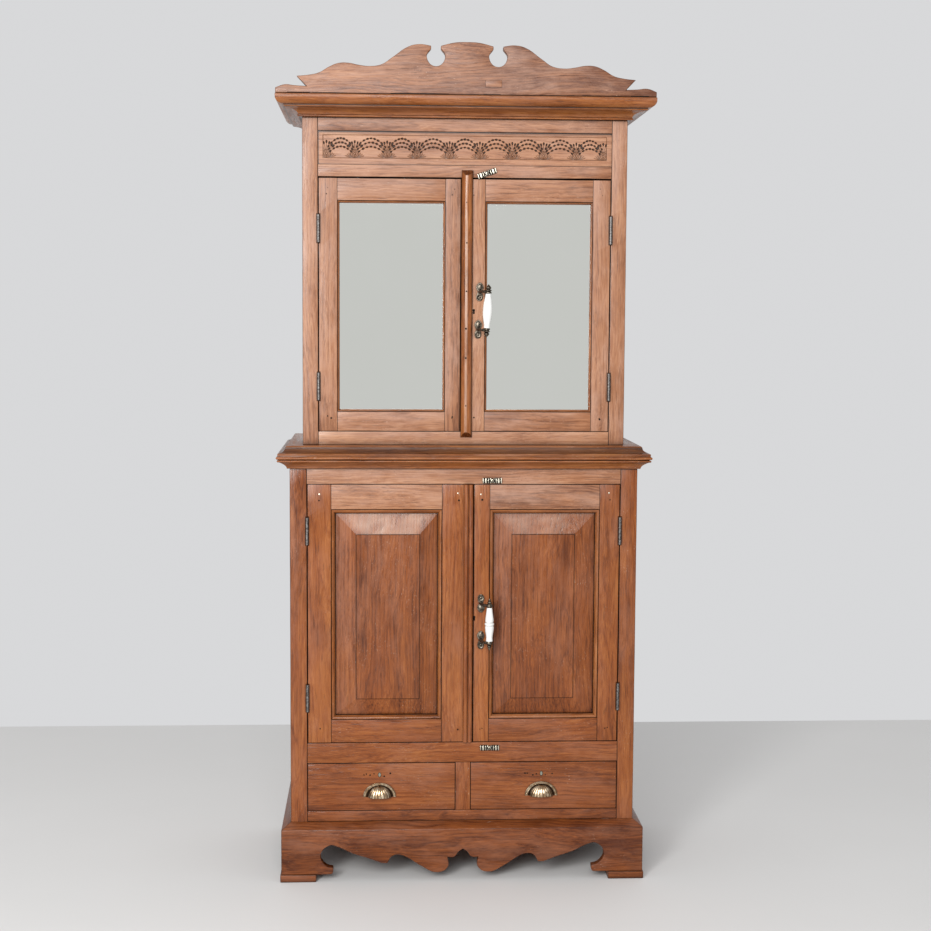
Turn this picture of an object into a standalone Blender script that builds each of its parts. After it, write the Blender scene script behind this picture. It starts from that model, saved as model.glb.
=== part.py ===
"""A two-stage step-back armoire: drawers and panelled doors below, mirrored doors above.

Metres, +Z up, front towards -Y, origin on the floor at the middle of the overall footprint.
"""

import math

import bmesh
import bpy
from mathutils import Matrix, Vector

# Clearances
GAP = 0.0003  # between two pieces that touch
FREE = 0.0012  # round a door or drawer front
HEAD_GAP = 0.0037  # above the upper doors

# Plan
LOWER_HALF = 0.453
UPPER_HALF = 0.420
CARCASS_DEPTH = 0.450
SETBACK = 0.033
HANDLE_STANDOFF = 0.0395
GRIP_RADIUS = 0.0125
BACK = (CARCASS_DEPTH + HANDLE_STANDOFF + GRIP_RADIUS) / 2
FRONT = BACK - CARCASS_DEPTH
UPPER_FRONT = FRONT + SETBACK

# Heights
FOOT_TOP = 0.020
PLINTH_TOP = 0.156
DRAWER_LOW = 0.183
DRAWER_HIGH = 0.312
LOWER_DOOR_LOW = 0.3655
LOWER_DOOR_HIGH = 1.0495
WAIST_LOW = 1.0895
WAIST_HIGH = 1.149
UPPER_DOOR_LOW = 1.184
UPPER_DOOR_HIGH = 1.8405
FRIEZE_LOW = 1.8715
FRIEZE_HIGH = 1.957
UPPER_TOP = 1.990
CORNICE_TOP = 2.043

# Stock
POST_DEPTH = 0.044
LOWER_POST = 0.044
UPPER_POST = 0.0405
RAIL_DEPTH = 0.030
SIDE_THICK = 0.018
SIDE_SUNK = 0.003
BACK_THICK = 0.012
SHELF_THICK = 0.018
SHELF_TOP = 1.520
DIVIDER_HALF = 0.0195
FRIEZE_THICK = 0.014
FRIEZE_SUNK = 0.004
CREST_THICK = 0.022
CREST_FORWARD = 0.061  # crest's face in front of the upper carcass

# Plinth and feet
PLINTH_THICK = 0.024
PLINTH_CHAMFER = 0.017
PLINTH_HALF = LOWER_HALF + PLINTH_THICK
PLINTH_FRONT = FRONT - PLINTH_THICK
FOOT_PROUD = 0.003
FOOT_LENGTH = 0.095
SIDE_LOW = 0.100  # the lower sides' bottom edge, hidden behind the plinth

# Doors. An opening is where the frame's moulding starts, and its ease is how far that runs in.
DOOR_THICK = 0.022
DOOR_GAP = 0.002  # between a door's hinged edge and its post
LEAF_GAP = 0.0026  # between the two lower leaves
UPPER_LEAF_GAP = 0.0023
REBATE = 0.008
LOWER_OPENING_HEIGHT = (0.4280, 0.9830)
LOWER_OPENINGS = ((-0.3460, -0.0575), (0.0670, 0.3545))
LOWER_EASE = 0.0100
LOWER_LIP = 0.0122
FIELD_MARGINS = ((0.0545, 0.0475), (0.0475, 0.0545))  # left and right margins of each panel
FIELD_MARGIN_LOW = 0.0440
FIELD_MARGIN_HIGH = 0.0555
UPPER_OPENING_HEIGHT = (1.2355, 1.7800)
UPPER_OPENINGS = ((-0.3300, -0.0510), (0.0525, 0.3320))
UPPER_EASE = 0.0060
UPPER_LIP = 0.0102
BEAD = (-0.0008, 0.0234)
ASTRAGAL = (-0.0095, 0.0200)
ASTRAGAL_HEIGHT = (1.1690, 1.8595)

# Hinges
HINGE_LENGTH = 0.072
HINGE_RADIUS = 0.0038
HINGE_LEAF = 0.001
HINGE_REACH = HINGE_RADIUS + GAP
LOWER_HINGE_X = LOWER_HALF - LOWER_POST - DOOR_GAP / 2
UPPER_HINGE_X = UPPER_HALF - UPPER_POST - DOOR_GAP / 2
LOWER_EDGE = LOWER_HINGE_X - DOOR_GAP / 2
UPPER_EDGE = UPPER_HINGE_X - DOOR_GAP / 2
LOWER_HINGES = (0.4860, 0.9265)
UPPER_HINGES = (1.3010, 1.7080)

# Handles
LOWER_HANDLE = (0.0650, 0.6870)
UPPER_HANDLE = (0.0570, 1.4975)
HANDLE_LEAN = math.radians(2.2)
HANDLE_SWING = 0.020
PLATE_SPREAD = 0.0485
PLATE_THICK = 0.004
ROD_RADIUS = 0.0028
ARM_RADIUS = 0.0042

# Drawers and their pulls
DRAWER_FRONT = 0.020
TRAY_WALL = 0.010
TRAY_FLOOR = 0.008
TRAY_LENGTH = 0.370
TRAY_INSET = 0.0035  # tray's side from the drawer front's end
TRAY_DROP = 0.022  # tray's edge below the drawer front's
PULL_X = (-0.2195, 0.2080)
PULL_LOW = 0.2205
PULL_HALF = 0.0435
PULL_HEIGHT = 0.038
PULL_FLANGE = 0.0025
CUP_HALF = 0.032
CUP_HEIGHT = 0.029
CUP_REACH = 0.019
SHEET = 0.0022

# Turning catches
BUTTON_LENGTH = 0.050
BUTTON_WIDTH = 0.0145
BUTTON_THICK = 0.007
BUTTON_NOSE = 0.004
BUTTON_TILT = math.radians(20)
UPPER_BUTTON = (0.0560, 1.8515)
DOOR_TOP_BUTTON = (0.0725, 1.0585)
DOOR_FOOT_BUTTON = (0.0700, 0.3505)

for old in list(bpy.data.objects):
    bpy.data.objects.remove(old, do_unlink=True)


def collection(name):
    made = bpy.data.collections.new(name)
    bpy.context.scene.collection.children.link(made)
    return made


ARMOIRE = collection("armoire")
CUTTERS = collection("cutters")


def material(name, colour, roughness, metallic=0.0):
    made = bpy.data.materials.new(name)
    made.use_nodes = True
    shader = made.node_tree.nodes["Principled BSDF"]
    shader.inputs["Base Color"].default_value = (*colour, 1.0)
    shader.inputs["Roughness"].default_value = roughness
    shader.inputs["Metallic"].default_value = metallic
    return made


UPPER_WOOD = material("upper_wood", (0.46, 0.24, 0.15), 0.55)
LOWER_WOOD = material("lower_wood", (0.36, 0.13, 0.06), 0.50)
MOULDING_WOOD = material("moulding_wood", (0.34, 0.12, 0.035), 0.45)
INSIDE_WOOD = material("inside_wood", (0.30, 0.17, 0.09), 0.75)
MIRROR = material("mirror_glass", (0.80, 0.82, 0.80), 0.05, 1.0)
BRASS = material("brass", (0.60, 0.50, 0.32), 0.30, 1.0)
BRONZE = material("dark_bronze", (0.16, 0.14, 0.11), 0.45, 1.0)
STEEL = material("hinge_steel", (0.20, 0.18, 0.17), 0.45, 1.0)
CERAMIC = material("white_ceramic", (0.90, 0.90, 0.87), 0.12)


# ---------------------------------------------------------------- shape helpers


def add_object(name, mesh, finish=None, at=(0, 0, 0)):
    """An object of the armoire, or a hidden helper where it has no finish."""
    made = bpy.data.objects.new(name, mesh)
    made.location = at
    if finish is None:
        CUTTERS.objects.link(made)
        made.hide_render = True
        made.display_type = "WIRE"
    else:
        mesh.materials.append(finish)
        ARMOIRE.objects.link(made)
    return made


def mesh_from(bm, name):
    mesh = bpy.data.meshes.new(name)
    bmesh.ops.recalc_face_normals(bm, faces=bm.faces)
    bm.to_mesh(mesh)
    bm.free()
    return mesh


def board(name, x, y, z, finish=None):
    """A rectangular board between two limits on each axis, with its origin at its centre."""
    low = Vector((min(x), min(y), min(z)))
    high = Vector((max(x), max(y), max(z)))
    bm = bmesh.new()
    bmesh.ops.create_cube(bm, size=1.0)
    bmesh.ops.scale(bm, vec=high - low, verts=bm.verts)
    return add_object(name, mesh_from(bm, name), finish, (low + high) / 2)


def plan_ring(x_half, front, back, z):
    """A level rectangle, for a loft that rises."""
    return [(-x_half, front, z), (x_half, front, z), (x_half, back, z), (-x_half, back, z)]


def face_ring(x, z, y, grow=0.0):
    """An upright rectangle facing -Y, for a loft that comes forward."""
    left, right = x[0] - grow, x[1] + grow
    low, high = z[0] - grow, z[1] + grow
    return [(left, y, low), (right, y, low), (right, y, high), (left, y, high)]


def loft(name, rings, finish=None):
    """A solid through a series of rectangles, closed by its first and its last."""
    bm = bmesh.new()
    loops = [[bm.verts.new(corner) for corner in ring] for ring in rings]
    bm.faces.new(loops[0])
    bm.faces.new(loops[-1])
    for near, far in zip(loops, loops[1:]):
        for i in range(4):
            bm.faces.new((near[i - 1], near[i], far[i], far[i - 1]))
    return add_object(name, mesh_from(bm, name), finish)


def settled_mesh(obj):
    """The object's mesh as the viewport shows it, with loose caps welded; the object is removed."""
    bpy.context.view_layer.update()
    graph = bpy.context.evaluated_depsgraph_get()
    mesh = bpy.data.meshes.new_from_object(obj.evaluated_get(graph))
    mesh.transform(obj.matrix_world)
    bm = bmesh.new()
    bm.from_mesh(mesh)
    bmesh.ops.remove_doubles(bm, verts=bm.verts, dist=0.00001)
    bm.to_mesh(mesh)
    bm.free()
    mesh.materials.clear()
    bpy.data.objects.remove(obj, do_unlink=True)
    return mesh


def sawn(name, outline, thickness, steps, stand):
    """A flat outline sawn from a board. Each point is (u, v, round), and stand turns it upright."""
    curve = bpy.data.curves.new(name, "CURVE")
    curve.dimensions = "2D"
    curve.fill_mode = "BOTH"
    curve.extrude = thickness / 2
    curve.resolution_u = steps
    spline = curve.splines.new("BEZIER")
    spline.use_cyclic_u = True
    spline.bezier_points.add(len(outline) - 1)
    for knot, (u, v, is_round) in zip(spline.bezier_points, outline):
        knot.co = (u, v, 0)
        knot.handle_left_type = knot.handle_right_type = "AUTO" if is_round else "VECTOR"
    guide = bpy.data.objects.new(name, curve)
    guide.matrix_world = stand
    CUTTERS.objects.link(guide)
    return settled_mesh(guide)


def tube(name, points, radius):
    """A round rod along a smooth line, as a helper to be joined."""
    curve = bpy.data.curves.new(name, "CURVE")
    curve.dimensions = "3D"
    curve.bevel_depth = radius
    curve.bevel_resolution = 2
    curve.resolution_u = 4
    curve.use_fill_caps = True
    spline = curve.splines.new("BEZIER")
    spline.bezier_points.add(len(points) - 1)
    for knot, point in zip(spline.bezier_points, points):
        knot.co = point
        knot.handle_left_type = knot.handle_right_type = "AUTO"
    guide = bpy.data.objects.new(name, curve)
    CUTTERS.objects.link(guide)
    return settled_mesh(guide)


def turned(name, profile, finish, at, closed=False):
    """A shape turned about Z from (radius, height) points that run down its outer side."""
    edges = [(i, i + 1) for i in range(len(profile) - 1)]
    if closed:
        edges.append((len(profile) - 1, 0))
    mesh = bpy.data.meshes.new(name)
    mesh.from_pydata([(radius, 0, height) for radius, height in profile], edges, [])
    made = add_object(name, mesh, finish, at)
    screw = made.modifiers.new("turn", "SCREW")
    screw.steps = 16
    screw.render_steps = 16
    screw.use_merge_vertices = True
    screw.merge_threshold = 0.00001
    screw.use_smooth_shade = True
    return made


def cut_away(mesh, point, normal):
    """Cuts the mesh by a plane, drops what lies on the normal's side, and closes the cut."""
    bm = bmesh.new()
    bm.from_mesh(mesh)
    everything = bm.verts[:] + bm.edges[:] + bm.faces[:]
    bmesh.ops.bisect_plane(bm, geom=everything, plane_co=point, plane_no=normal, clear_outer=True)
    bmesh.ops.holes_fill(bm, edges=[edge for edge in bm.edges if edge.is_boundary])
    bmesh.ops.recalc_face_normals(bm, faces=bm.faces)
    bm.to_mesh(mesh)
    bm.free()


def boolean(target, helper, operation):
    modifier = target.modifiers.new(helper.name, "BOOLEAN")
    modifier.operation = operation
    modifier.solver = "EXACT"
    modifier.object = helper


def pivot(name, at):
    """An empty on a joint's axis, which carries the pieces that move with it."""
    made = bpy.data.objects.new(name, None)
    made.location = at
    ARMOIRE.objects.link(made)
    return made


def hang(carrier, *pieces):
    """Parents pieces, placed in world coordinates, to a carrier that isn't turned."""
    for piece in pieces:
        piece.parent = carrier
        piece.location -= carrier.location


def mirrored(half):
    """A whole closed outline from its right half, which starts and ends near the middle line."""
    left = [(-u, v, is_round) for u, v, is_round in reversed(half) if u > 0]
    return half + left


def arc(centre, radius, start, end, count):
    """Points along an arc, in degrees, as (across, up)."""
    angles = [math.radians(start + (end - start) * i / count) for i in range(count + 1)]
    return [(centre[0] + radius * math.cos(a), centre[1] + radius * math.sin(a)) for a in angles]


# Stands a sawn outline upright: across is +X or +Y, and up is +Z.
FACING_FRONT = Matrix.Rotation(math.pi / 2, 4, "X")
FACING_SIDE = Matrix.Rotation(math.pi / 2, 4, "Z") @ FACING_FRONT


# ---------------------------------------------------------------- plinth and feet


def apron_outline():
    """The right half of the front apron: bracket foot, sweeping arch, drop and centre notch."""
    return [
        (0.0, 0.0855, False),
        (0.0120, 0.0770, True),
        (0.0225, 0.0640, True),
        (0.0410, 0.0635, False),
        (0.0390, 0.0380, True),
        (0.0640, 0.0225, True),
        (0.1130, 0.0420, True),
        (0.1440, 0.0620, True),
        (0.1660, 0.0710, True),
        (0.1860, 0.0680, True),
        (0.1990, 0.0490, False),
        (0.2130, 0.0490, False),
        (0.2450, 0.0610, True),
        (0.2900, 0.0760, True),
        (0.3320, 0.0950, True),
        (0.3500, 0.0980, True),
        (0.3740, 0.0720, True),
        (0.3600, 0.0430, True),
        (0.3410, 0.0370, False),
        (0.3430, 0.0225, True),
        (0.3520, FOOT_TOP + GAP, False),
        (PLINTH_HALF, FOOT_TOP + GAP, False),
        (PLINTH_HALF, PLINTH_TOP, False),
        (0.0, PLINTH_TOP, False),
    ]


def side_apron_outline():
    """A side apron: two plain brackets and a low arch."""
    front, rear = PLINTH_FRONT, BACK
    bracket, rise = 0.110, 0.060
    return [
        (front, FOOT_TOP + GAP, False),
        (front + bracket, FOOT_TOP + GAP, False),
        (front + bracket + 0.030, FOOT_TOP + rise * 0.7, True),
        (front + bracket + 0.090, FOOT_TOP + rise, True),
        (rear - bracket - 0.090, FOOT_TOP + rise, True),
        (rear - bracket - 0.030, FOOT_TOP + rise * 0.7, True),
        (rear - bracket, FOOT_TOP + GAP, False),
        (rear, FOOT_TOP + GAP, False),
        (rear, PLINTH_TOP, False),
        (front, PLINTH_TOP, False),
    ]


def plinth():
    """Three boards, mitred at the front corners and chamfered along the top."""
    board_thick = PLINTH_THICK - GAP
    edge = PLINTH_TOP - PLINTH_CHAMFER
    stand = Matrix.Translation((0, PLINTH_FRONT + board_thick / 2, 0)) @ FACING_FRONT
    front = sawn("plinth_front", mirrored(apron_outline()), board_thick, 5, stand)
    cut_away(front, (0, PLINTH_FRONT, edge), (0, -PLINTH_CHAMFER, PLINTH_THICK))
    for side in (-1, 1):
        corner = Vector((side * PLINTH_HALF, PLINTH_FRONT, 0))
        cut_away(front, corner - Vector((side * GAP, 0, 0)), (side, 1, 0))
    add_object("plinth_front", front, LOWER_WOOD)
    for side, name in ((-1, "plinth_left"), (1, "plinth_right")):
        middle = side * (PLINTH_HALF - board_thick / 2)
        stand = Matrix.Translation((middle, 0, 0)) @ FACING_SIDE
        mesh = sawn(name, side_apron_outline(), board_thick, 5, stand)
        outer = side * PLINTH_HALF
        cut_away(mesh, (outer, 0, edge), (side * PLINTH_CHAMFER, 0, PLINTH_THICK))
        cut_away(mesh, (outer, PLINTH_FRONT, 0), (-side, -1, 0))
        add_object(name, mesh, LOWER_WOOD)


def feet():
    outer = PLINTH_HALF + FOOT_PROUD
    front = PLINTH_FRONT - FOOT_PROUD
    for side, name in ((-1, "foot_front_left"), (1, "foot_front_right")):
        across = (side * outer, side * (outer - FOOT_LENGTH))
        board(name, across, (front, front + FOOT_LENGTH), (0, FOOT_TOP), LOWER_WOOD)
    board("foot_rear_bar", (-outer, outer), (BACK - FOOT_LENGTH, BACK), (0, FOOT_TOP), INSIDE_WOOD)


# ---------------------------------------------------------------- the two carcasses


def carcass_ends(stage, half, post, front, z, side_low, finish):
    """Front posts and plank sides, the sides a little behind the posts' outer faces."""
    low, high = z
    for side, hand in ((-1, "left"), (1, "right")):
        across = (side * half, side * (half - post))
        board(f"{stage}_post_{hand}", across, (front, front + POST_DEPTH), (low, high), finish)
        outer = half - SIDE_SUNK
        across = (side * outer, side * (outer - SIDE_THICK))
        along = (front + POST_DEPTH + GAP, BACK)
        board(f"{stage}_side_{hand}", across, along, (side_low, high), finish)


def inside_half(half):
    """Half the clear width between a carcass's plank sides."""
    return half - SIDE_SUNK - SIDE_THICK - GAP


def across_rail(name, half, front, z, depth, finish):
    return board(name, (-half, half), (front, front + depth), z, finish)


def moulded_slab(name, half, front, bottom, top, profile, pocket_top, finish):
    """A slab moulded along its front and ends, with a shallow pocket in its underside.

    The profile is (outward, up) from the carcass's face and the slab's underside.
    """
    wall = POST_DEPTH
    rings = [plan_ring(half - wall, front + wall, BACK - wall, z) for z in (pocket_top, bottom)]
    rings += [plan_ring(half + out, front - out, BACK, bottom + up) for out, up in profile]
    rings[-1] = [(x, y, top) for x, y, _ in rings[-1]]
    loft(name, rings, finish)


def waist_profile():
    """Cove, fillets and a nosing, then an ogee that rises to the ledge."""
    cove = [(0.0065 + 0.0175 * t**2, 0.0005 + 0.0170 * t) for t in (0.0, 0.4, 0.7, 0.9, 1.0)]
    steps = [
        (0.0285, 0.0180),
        (0.0285, 0.0225),
        (0.0265, 0.0240),
        (0.0325, 0.0255),
        (0.0335, 0.0275),
        (0.0335, 0.0320),
        (0.0300, 0.0335),
        (0.0300, 0.0385),
    ]
    ogee = [(0.0285, 0.0400), (0.0205, 0.0425), (0.0140, 0.0475), (0.0105, 0.0535)]
    return [(0.0040, 0.0), *cove, *steps, *ogee, (0.0085, 0.0585), (0.0065, 0.0595)]


def cornice_profile():
    """A bead and a cove under a projecting fillet, then a bold ovolo."""
    bead = arc((0.0085, 0.0028), 0.0028, -90, 90, 4)
    cove = [(0.0085 + 0.0155 * t**2, 0.0062 + 0.0158 * t) for t in (0.0, 0.4, 0.7, 1.0)]
    fillet = [(0.0420, 0.0228), (0.0450, 0.0238), (0.0450, 0.0272), (0.0475, 0.0277)]
    ovolo = arc((0.0475, 0.0447), 0.0175, -75, 0, 5)
    return [*bead, *cove, *fillet, *ovolo, (0.0650, 0.0505), (0.0630, 0.0527)]


def lower_carcass():
    inner = LOWER_HALF - LOWER_POST - GAP
    clear = inside_half(LOWER_HALF)
    behind = FRONT + POST_DEPTH + GAP
    back_face = BACK - BACK_THICK
    top = WAIST_LOW - GAP
    low = FOOT_TOP + GAP
    carcass_ends("lower", LOWER_HALF, LOWER_POST, FRONT, (low, top), SIDE_LOW, LOWER_WOOD)
    board("lower_back", (-clear, clear), (back_face, BACK), (low, top), INSIDE_WOOD)
    floor = (PLINTH_TOP, DRAWER_LOW)
    base = board("base_board", (-clear, clear), (FRONT, back_face - GAP), floor, LOWER_WOOD)
    for side, hand in ((-1, "left"), (1, "right")):
        round_post = (side * inner, side * (clear + GAP))
        notch = board(f"base_notch_{hand}", round_post, (FRONT - GAP, behind), (0, DRAWER_HIGH))
        boolean(base, notch, "DIFFERENCE")
    rails = (("middle_rail", DRAWER_HIGH, LOWER_DOOR_LOW), ("lower_top_rail", LOWER_DOOR_HIGH, top))
    for name, rail_low, rail_high in rails:
        across_rail(name, inner, FRONT, (rail_low, rail_high), RAIL_DEPTH, LOWER_WOOD)
    floor = (LOWER_DOOR_LOW - SHELF_THICK, LOWER_DOOR_LOW)
    board("cupboard_floor", (-clear, clear), (behind, back_face - GAP), floor, INSIDE_WOOD)
    board(
        "drawer_divider",
        (-DIVIDER_HALF, DIVIDER_HALF),
        (FRONT, back_face - GAP),
        (DRAWER_LOW + GAP, DRAWER_HIGH - GAP),
        LOWER_WOOD,
    )
    moulded_slab(
        "waist_top",
        LOWER_HALF,
        FRONT,
        WAIST_LOW,
        WAIST_HIGH,
        waist_profile(),
        WAIST_HIGH - 0.022,
        MOULDING_WOOD,
    )


def upper_carcass():
    inner = UPPER_HALF - UPPER_POST - GAP
    clear = inside_half(UPPER_HALF)
    low = WAIST_HIGH + GAP
    top = UPPER_TOP
    carcass_ends("upper", UPPER_HALF, UPPER_POST, UPPER_FRONT, (low, top), low, UPPER_WOOD)
    board("upper_back", (-clear, clear), (BACK - BACK_THICK, BACK), (low, top), INSIDE_WOOD)
    rails = (
        ("upper_bottom_rail", low, UPPER_DOOR_LOW),
        ("frieze_lower_rail", UPPER_DOOR_HIGH, FRIEZE_LOW),
        ("frieze_top_rail", FRIEZE_HIGH, top),
    )
    for name, rail_low, rail_high in rails:
        across_rail(name, inner, UPPER_FRONT, (rail_low, rail_high), RAIL_DEPTH, UPPER_WOOD)
    across_rail(
        "frieze_panel",
        inner,
        UPPER_FRONT + FRIEZE_SUNK,
        (FRIEZE_LOW + GAP, FRIEZE_HIGH - GAP),
        FRIEZE_THICK,
        UPPER_WOOD,
    )
    board(
        "upper_shelf",
        (-clear, clear),
        (UPPER_FRONT + POST_DEPTH + 0.008, BACK - BACK_THICK - GAP),
        (SHELF_TOP - SHELF_THICK, SHELF_TOP),
        INSIDE_WOOD,
    )
    moulded_slab(
        "cornice",
        UPPER_HALF,
        UPPER_FRONT,
        UPPER_TOP + GAP,
        CORNICE_TOP,
        cornice_profile(),
        CORNICE_TOP - 0.018,
        MOULDING_WOOD,
    )


def crest_outline():
    """The right half of the crest: raised centre, keyhole slot, hump and curled tail."""
    slot, eye, eye_height = 0.0790, 0.0235, 0.0935
    throat = 0.0125
    lip = eye_height + math.sqrt(eye**2 - throat**2)
    return [
        (0.0, 0.1310, True),
        (0.0280, 0.1300, True),
        (0.0460, 0.1265, True),
        (slot - throat, 0.1210, False),
        (slot - throat, lip, False),
        (slot - eye, eye_height, True),
        (slot, eye_height - eye, True),
        (slot + eye, eye_height, True),
        (slot + throat, lip, False),
        (slot + throat, 0.1210, False),
        (0.1190, 0.1245, True),
        (0.1470, 0.1190, True),
        (0.1900, 0.0905, True),
        (0.2160, 0.0735, True),
        (0.2470, 0.0685, True),
        (0.2730, 0.0710, True),
        (0.3010, 0.0760, True),
        (0.3250, 0.0750, True),
        (0.3480, 0.0660, True),
        (0.3740, 0.0510, True),
        (0.4000, 0.0450, True),
        (0.4300, 0.0420, False),
        (0.4060, 0.0170, False),
        (0.4350, 0.0185, True),
        (0.4600, 0.0205, True),
        (0.4840, 0.0125, False),
        (0.4840, 0.0, False),
        (0.0, 0.0, False),
    ]


def crest():
    middle = UPPER_FRONT - CREST_FORWARD + CREST_THICK / 2
    stand = Matrix.Translation((0, middle, CORNICE_TOP + GAP)) @ FACING_FRONT
    mesh = sawn("crest", mirrored(crest_outline()), CREST_THICK, 5, stand)
    add_object("crest", mesh, UPPER_WOOD)


# ---------------------------------------------------------------- doors


def door_frame(name, x, z, front, opening, lip, ease, finish):
    """A framed leaf with a moulded opening and a rebate behind it for what it holds.

    The opening is ((left, right), (low, high)) where the moulding starts, ease is how far the
    moulding runs in, and lip is how deep the rebate's shoulder lies.
    """
    back = front + DOOR_THICK
    frame = board(name, x, (front, back), z, finish)
    across, up = opening
    clear = 0.001
    rings = [
        face_ring(across, up, front - clear, ease * clear / 0.008),
        face_ring(across, up, front + 0.008, -ease),
        face_ring(across, up, back + clear, -ease),
    ]
    boolean(frame, loft(f"{name}_opening", rings), "DIFFERENCE")
    rings = [face_ring(across, up, y, REBATE - ease) for y in (front + lip, back + clear)]
    boolean(frame, loft(f"{name}_rebate", rings), "DIFFERENCE")
    return frame


def raised_panel(name, opening, front, ease, side_margins):
    """A fielded panel: a thin edge in the rebate, sloping margins and a raised field."""
    across, up = opening
    inset = ease + GAP
    field_x = (across[0] + inset + side_margins[0], across[1] - inset - side_margins[1])
    field_z = (up[0] + inset + FIELD_MARGIN_LOW, up[1] - inset - FIELD_MARGIN_HIGH)
    rings = [
        face_ring(across, up, front + 0.0185, REBATE - ease - GAP),
        face_ring(across, up, front + 0.0125, REBATE - ease - GAP),
        face_ring(across, up, front + 0.0125, -inset),
        face_ring(across, up, front + 0.0120, -inset),
        face_ring(field_x, field_z, front + 0.0045),
        face_ring(field_x, field_z, front + 0.0025, -0.0012),
    ]
    return loft(name, rings, LOWER_WOOD)


def lower_doors():
    """Two panelled leaves. The left one is wider and carries the bead over the meeting."""
    z = (LOWER_DOOR_LOW + FREE, LOWER_DOOR_HIGH - FREE)
    up, ease = LOWER_OPENING_HEIGHT, LOWER_EASE
    leaves = (
        ("left", (-LOWER_EDGE, BEAD[1]), -LOWER_HINGE_X),
        ("right", (BEAD[1] + LEAF_GAP, LOWER_EDGE), LOWER_HINGE_X),
    )
    for (hand, x, hinge_x), across, margins in zip(leaves, LOWER_OPENINGS, FIELD_MARGINS):
        carrier = pivot(f"lower_{hand}_door_pivot", (hinge_x, FRONT - HINGE_REACH, 0))
        opening = (across, up)
        frame = door_frame(
            f"lower_door_frame_{hand}", x, z, FRONT, opening, LOWER_LIP, ease, LOWER_WOOD
        )
        panel = raised_panel(f"lower_door_panel_{hand}", opening, FRONT, ease, margins)
        hang(carrier, frame, panel)
        if hand == "left":
            hang(carrier, meeting_bead(z))
        else:
            hang(carrier, *handle("lower", LOWER_HANDLE, FRONT, 0.0, ringed_grip()))


def meeting_bead(z):
    """A double-reeded strip planted over the meeting stile."""
    left, right = BEAD
    reed = (right - left) / 4
    outline = [(left, 0.0), (left, 0.003)]
    for centre in (left + reed, left + 3 * reed):
        outline += arc((centre, 0.003), reed * 0.95, 170, 10, 4)
    outline += [(right, 0.003), (right, 0.0)]
    bm = bmesh.new()
    corners = [bm.verts.new((x, FRONT - GAP - out, z[0])) for x, out in outline]
    section = bm.faces.new(corners)
    raised = bmesh.ops.extrude_face_region(bm, geom=[section])["geom"]
    tops = [item for item in raised if isinstance(item, bmesh.types.BMVert)]
    bmesh.ops.translate(bm, verts=tops, vec=(0, 0, z[1] - z[0]))
    return add_object("meeting_bead", mesh_from(bm, "meeting_bead"), LOWER_WOOD)


def upper_doors():
    """Two mirrored leaves. The right one carries the astragal and the handle."""
    z = (UPPER_DOOR_LOW + FREE, UPPER_DOOR_HIGH - HEAD_GAP)
    up, ease = UPPER_OPENING_HEIGHT, UPPER_EASE
    leaves = (
        ("left", (-UPPER_EDGE, ASTRAGAL[0] - UPPER_LEAF_GAP), -UPPER_HINGE_X),
        ("right", (ASTRAGAL[0], UPPER_EDGE), UPPER_HINGE_X),
    )
    for (hand, x, hinge_x), across in zip(leaves, UPPER_OPENINGS):
        carrier = pivot(f"upper_{hand}_door_pivot", (hinge_x, UPPER_FRONT - HINGE_REACH, 0))
        opening = (across, up)
        frame = door_frame(
            f"upper_door_frame_{hand}", x, z, UPPER_FRONT, opening, UPPER_LIP, ease, UPPER_WOOD
        )
        depths = (UPPER_FRONT + 0.0145, UPPER_FRONT + 0.0105)
        rings = [face_ring(across, up, y, REBATE - ease - GAP) for y in depths]
        mirror = loft(f"mirror_{hand}", rings, MIRROR)
        hang(carrier, frame, mirror)
        if hand == "right":
            hang(carrier, astragal())
            hang(carrier, *handle("upper", UPPER_HANDLE, UPPER_FRONT, HANDLE_LEAN, plain_grip()))


def astragal():
    """A strip with a flat ridge and mitred ends, which covers the meeting of the leaves."""
    face = UPPER_FRONT - GAP
    edge, rise, slope = 0.004, 0.012, 0.0092
    rings = [
        face_ring(ASTRAGAL, ASTRAGAL_HEIGHT, face),
        face_ring(ASTRAGAL, ASTRAGAL_HEIGHT, face - edge),
        face_ring(ASTRAGAL, ASTRAGAL_HEIGHT, face - rise, -slope),
    ]
    return loft("astragal", rings, MOULDING_WOOD)


# ---------------------------------------------------------------- hardware


def hinges():
    """Butt hinges: a knuckle in front of the joint and the leaf that is let into the post."""
    sets = (
        ("lower", LOWER_HINGE_X, FRONT, LOWER_HINGES),
        ("upper", UPPER_HINGE_X, UPPER_FRONT, UPPER_HINGES),
    )
    for stage, x, front, heights in sets:
        for side, hand in ((-1, "left"), (1, "right")):
            for level, z in zip(("low", "high"), heights):
                hinge(f"{stage}_hinge_{hand}_{level}", side * x, front, z)


def hinge(name, x, front, z):
    bm = bmesh.new()
    bmesh.ops.create_cone(
        bm,
        cap_ends=True,
        segments=16,
        radius1=HINGE_RADIUS,
        radius2=HINGE_RADIUS,
        depth=HINGE_LENGTH,
    )
    knuckle = add_object(name, mesh_from(bm, name), STEEL, (x, front - HINGE_REACH, z))
    knuckle.data.shade_smooth()
    knuckle.data.set_sharp_from_angle(angle=math.radians(40))
    half_leaf, half_length = HINGE_LEAF / 2, HINGE_LENGTH / 2 - 0.001
    leaf = board(
        f"{name}_leaf",
        (x - half_leaf, x + half_leaf),
        (front - HINGE_REACH, front + 0.018),
        (z - half_length, z + half_length),
    )
    boolean(knuckle, leaf, "UNION")


def plain_grip():
    """A vase-shaped grip with one long swelling."""
    return [
        (0.0072, 0.0440),
        (0.0076, 0.0360),
        (0.0098, 0.0260),
        (0.0120, 0.0120),
        (GRIP_RADIUS, -0.0020),
        (0.0120, -0.0160),
        (0.0095, -0.0280),
        (0.0076, -0.0360),
        (0.0074, -0.0440),
    ]


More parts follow.
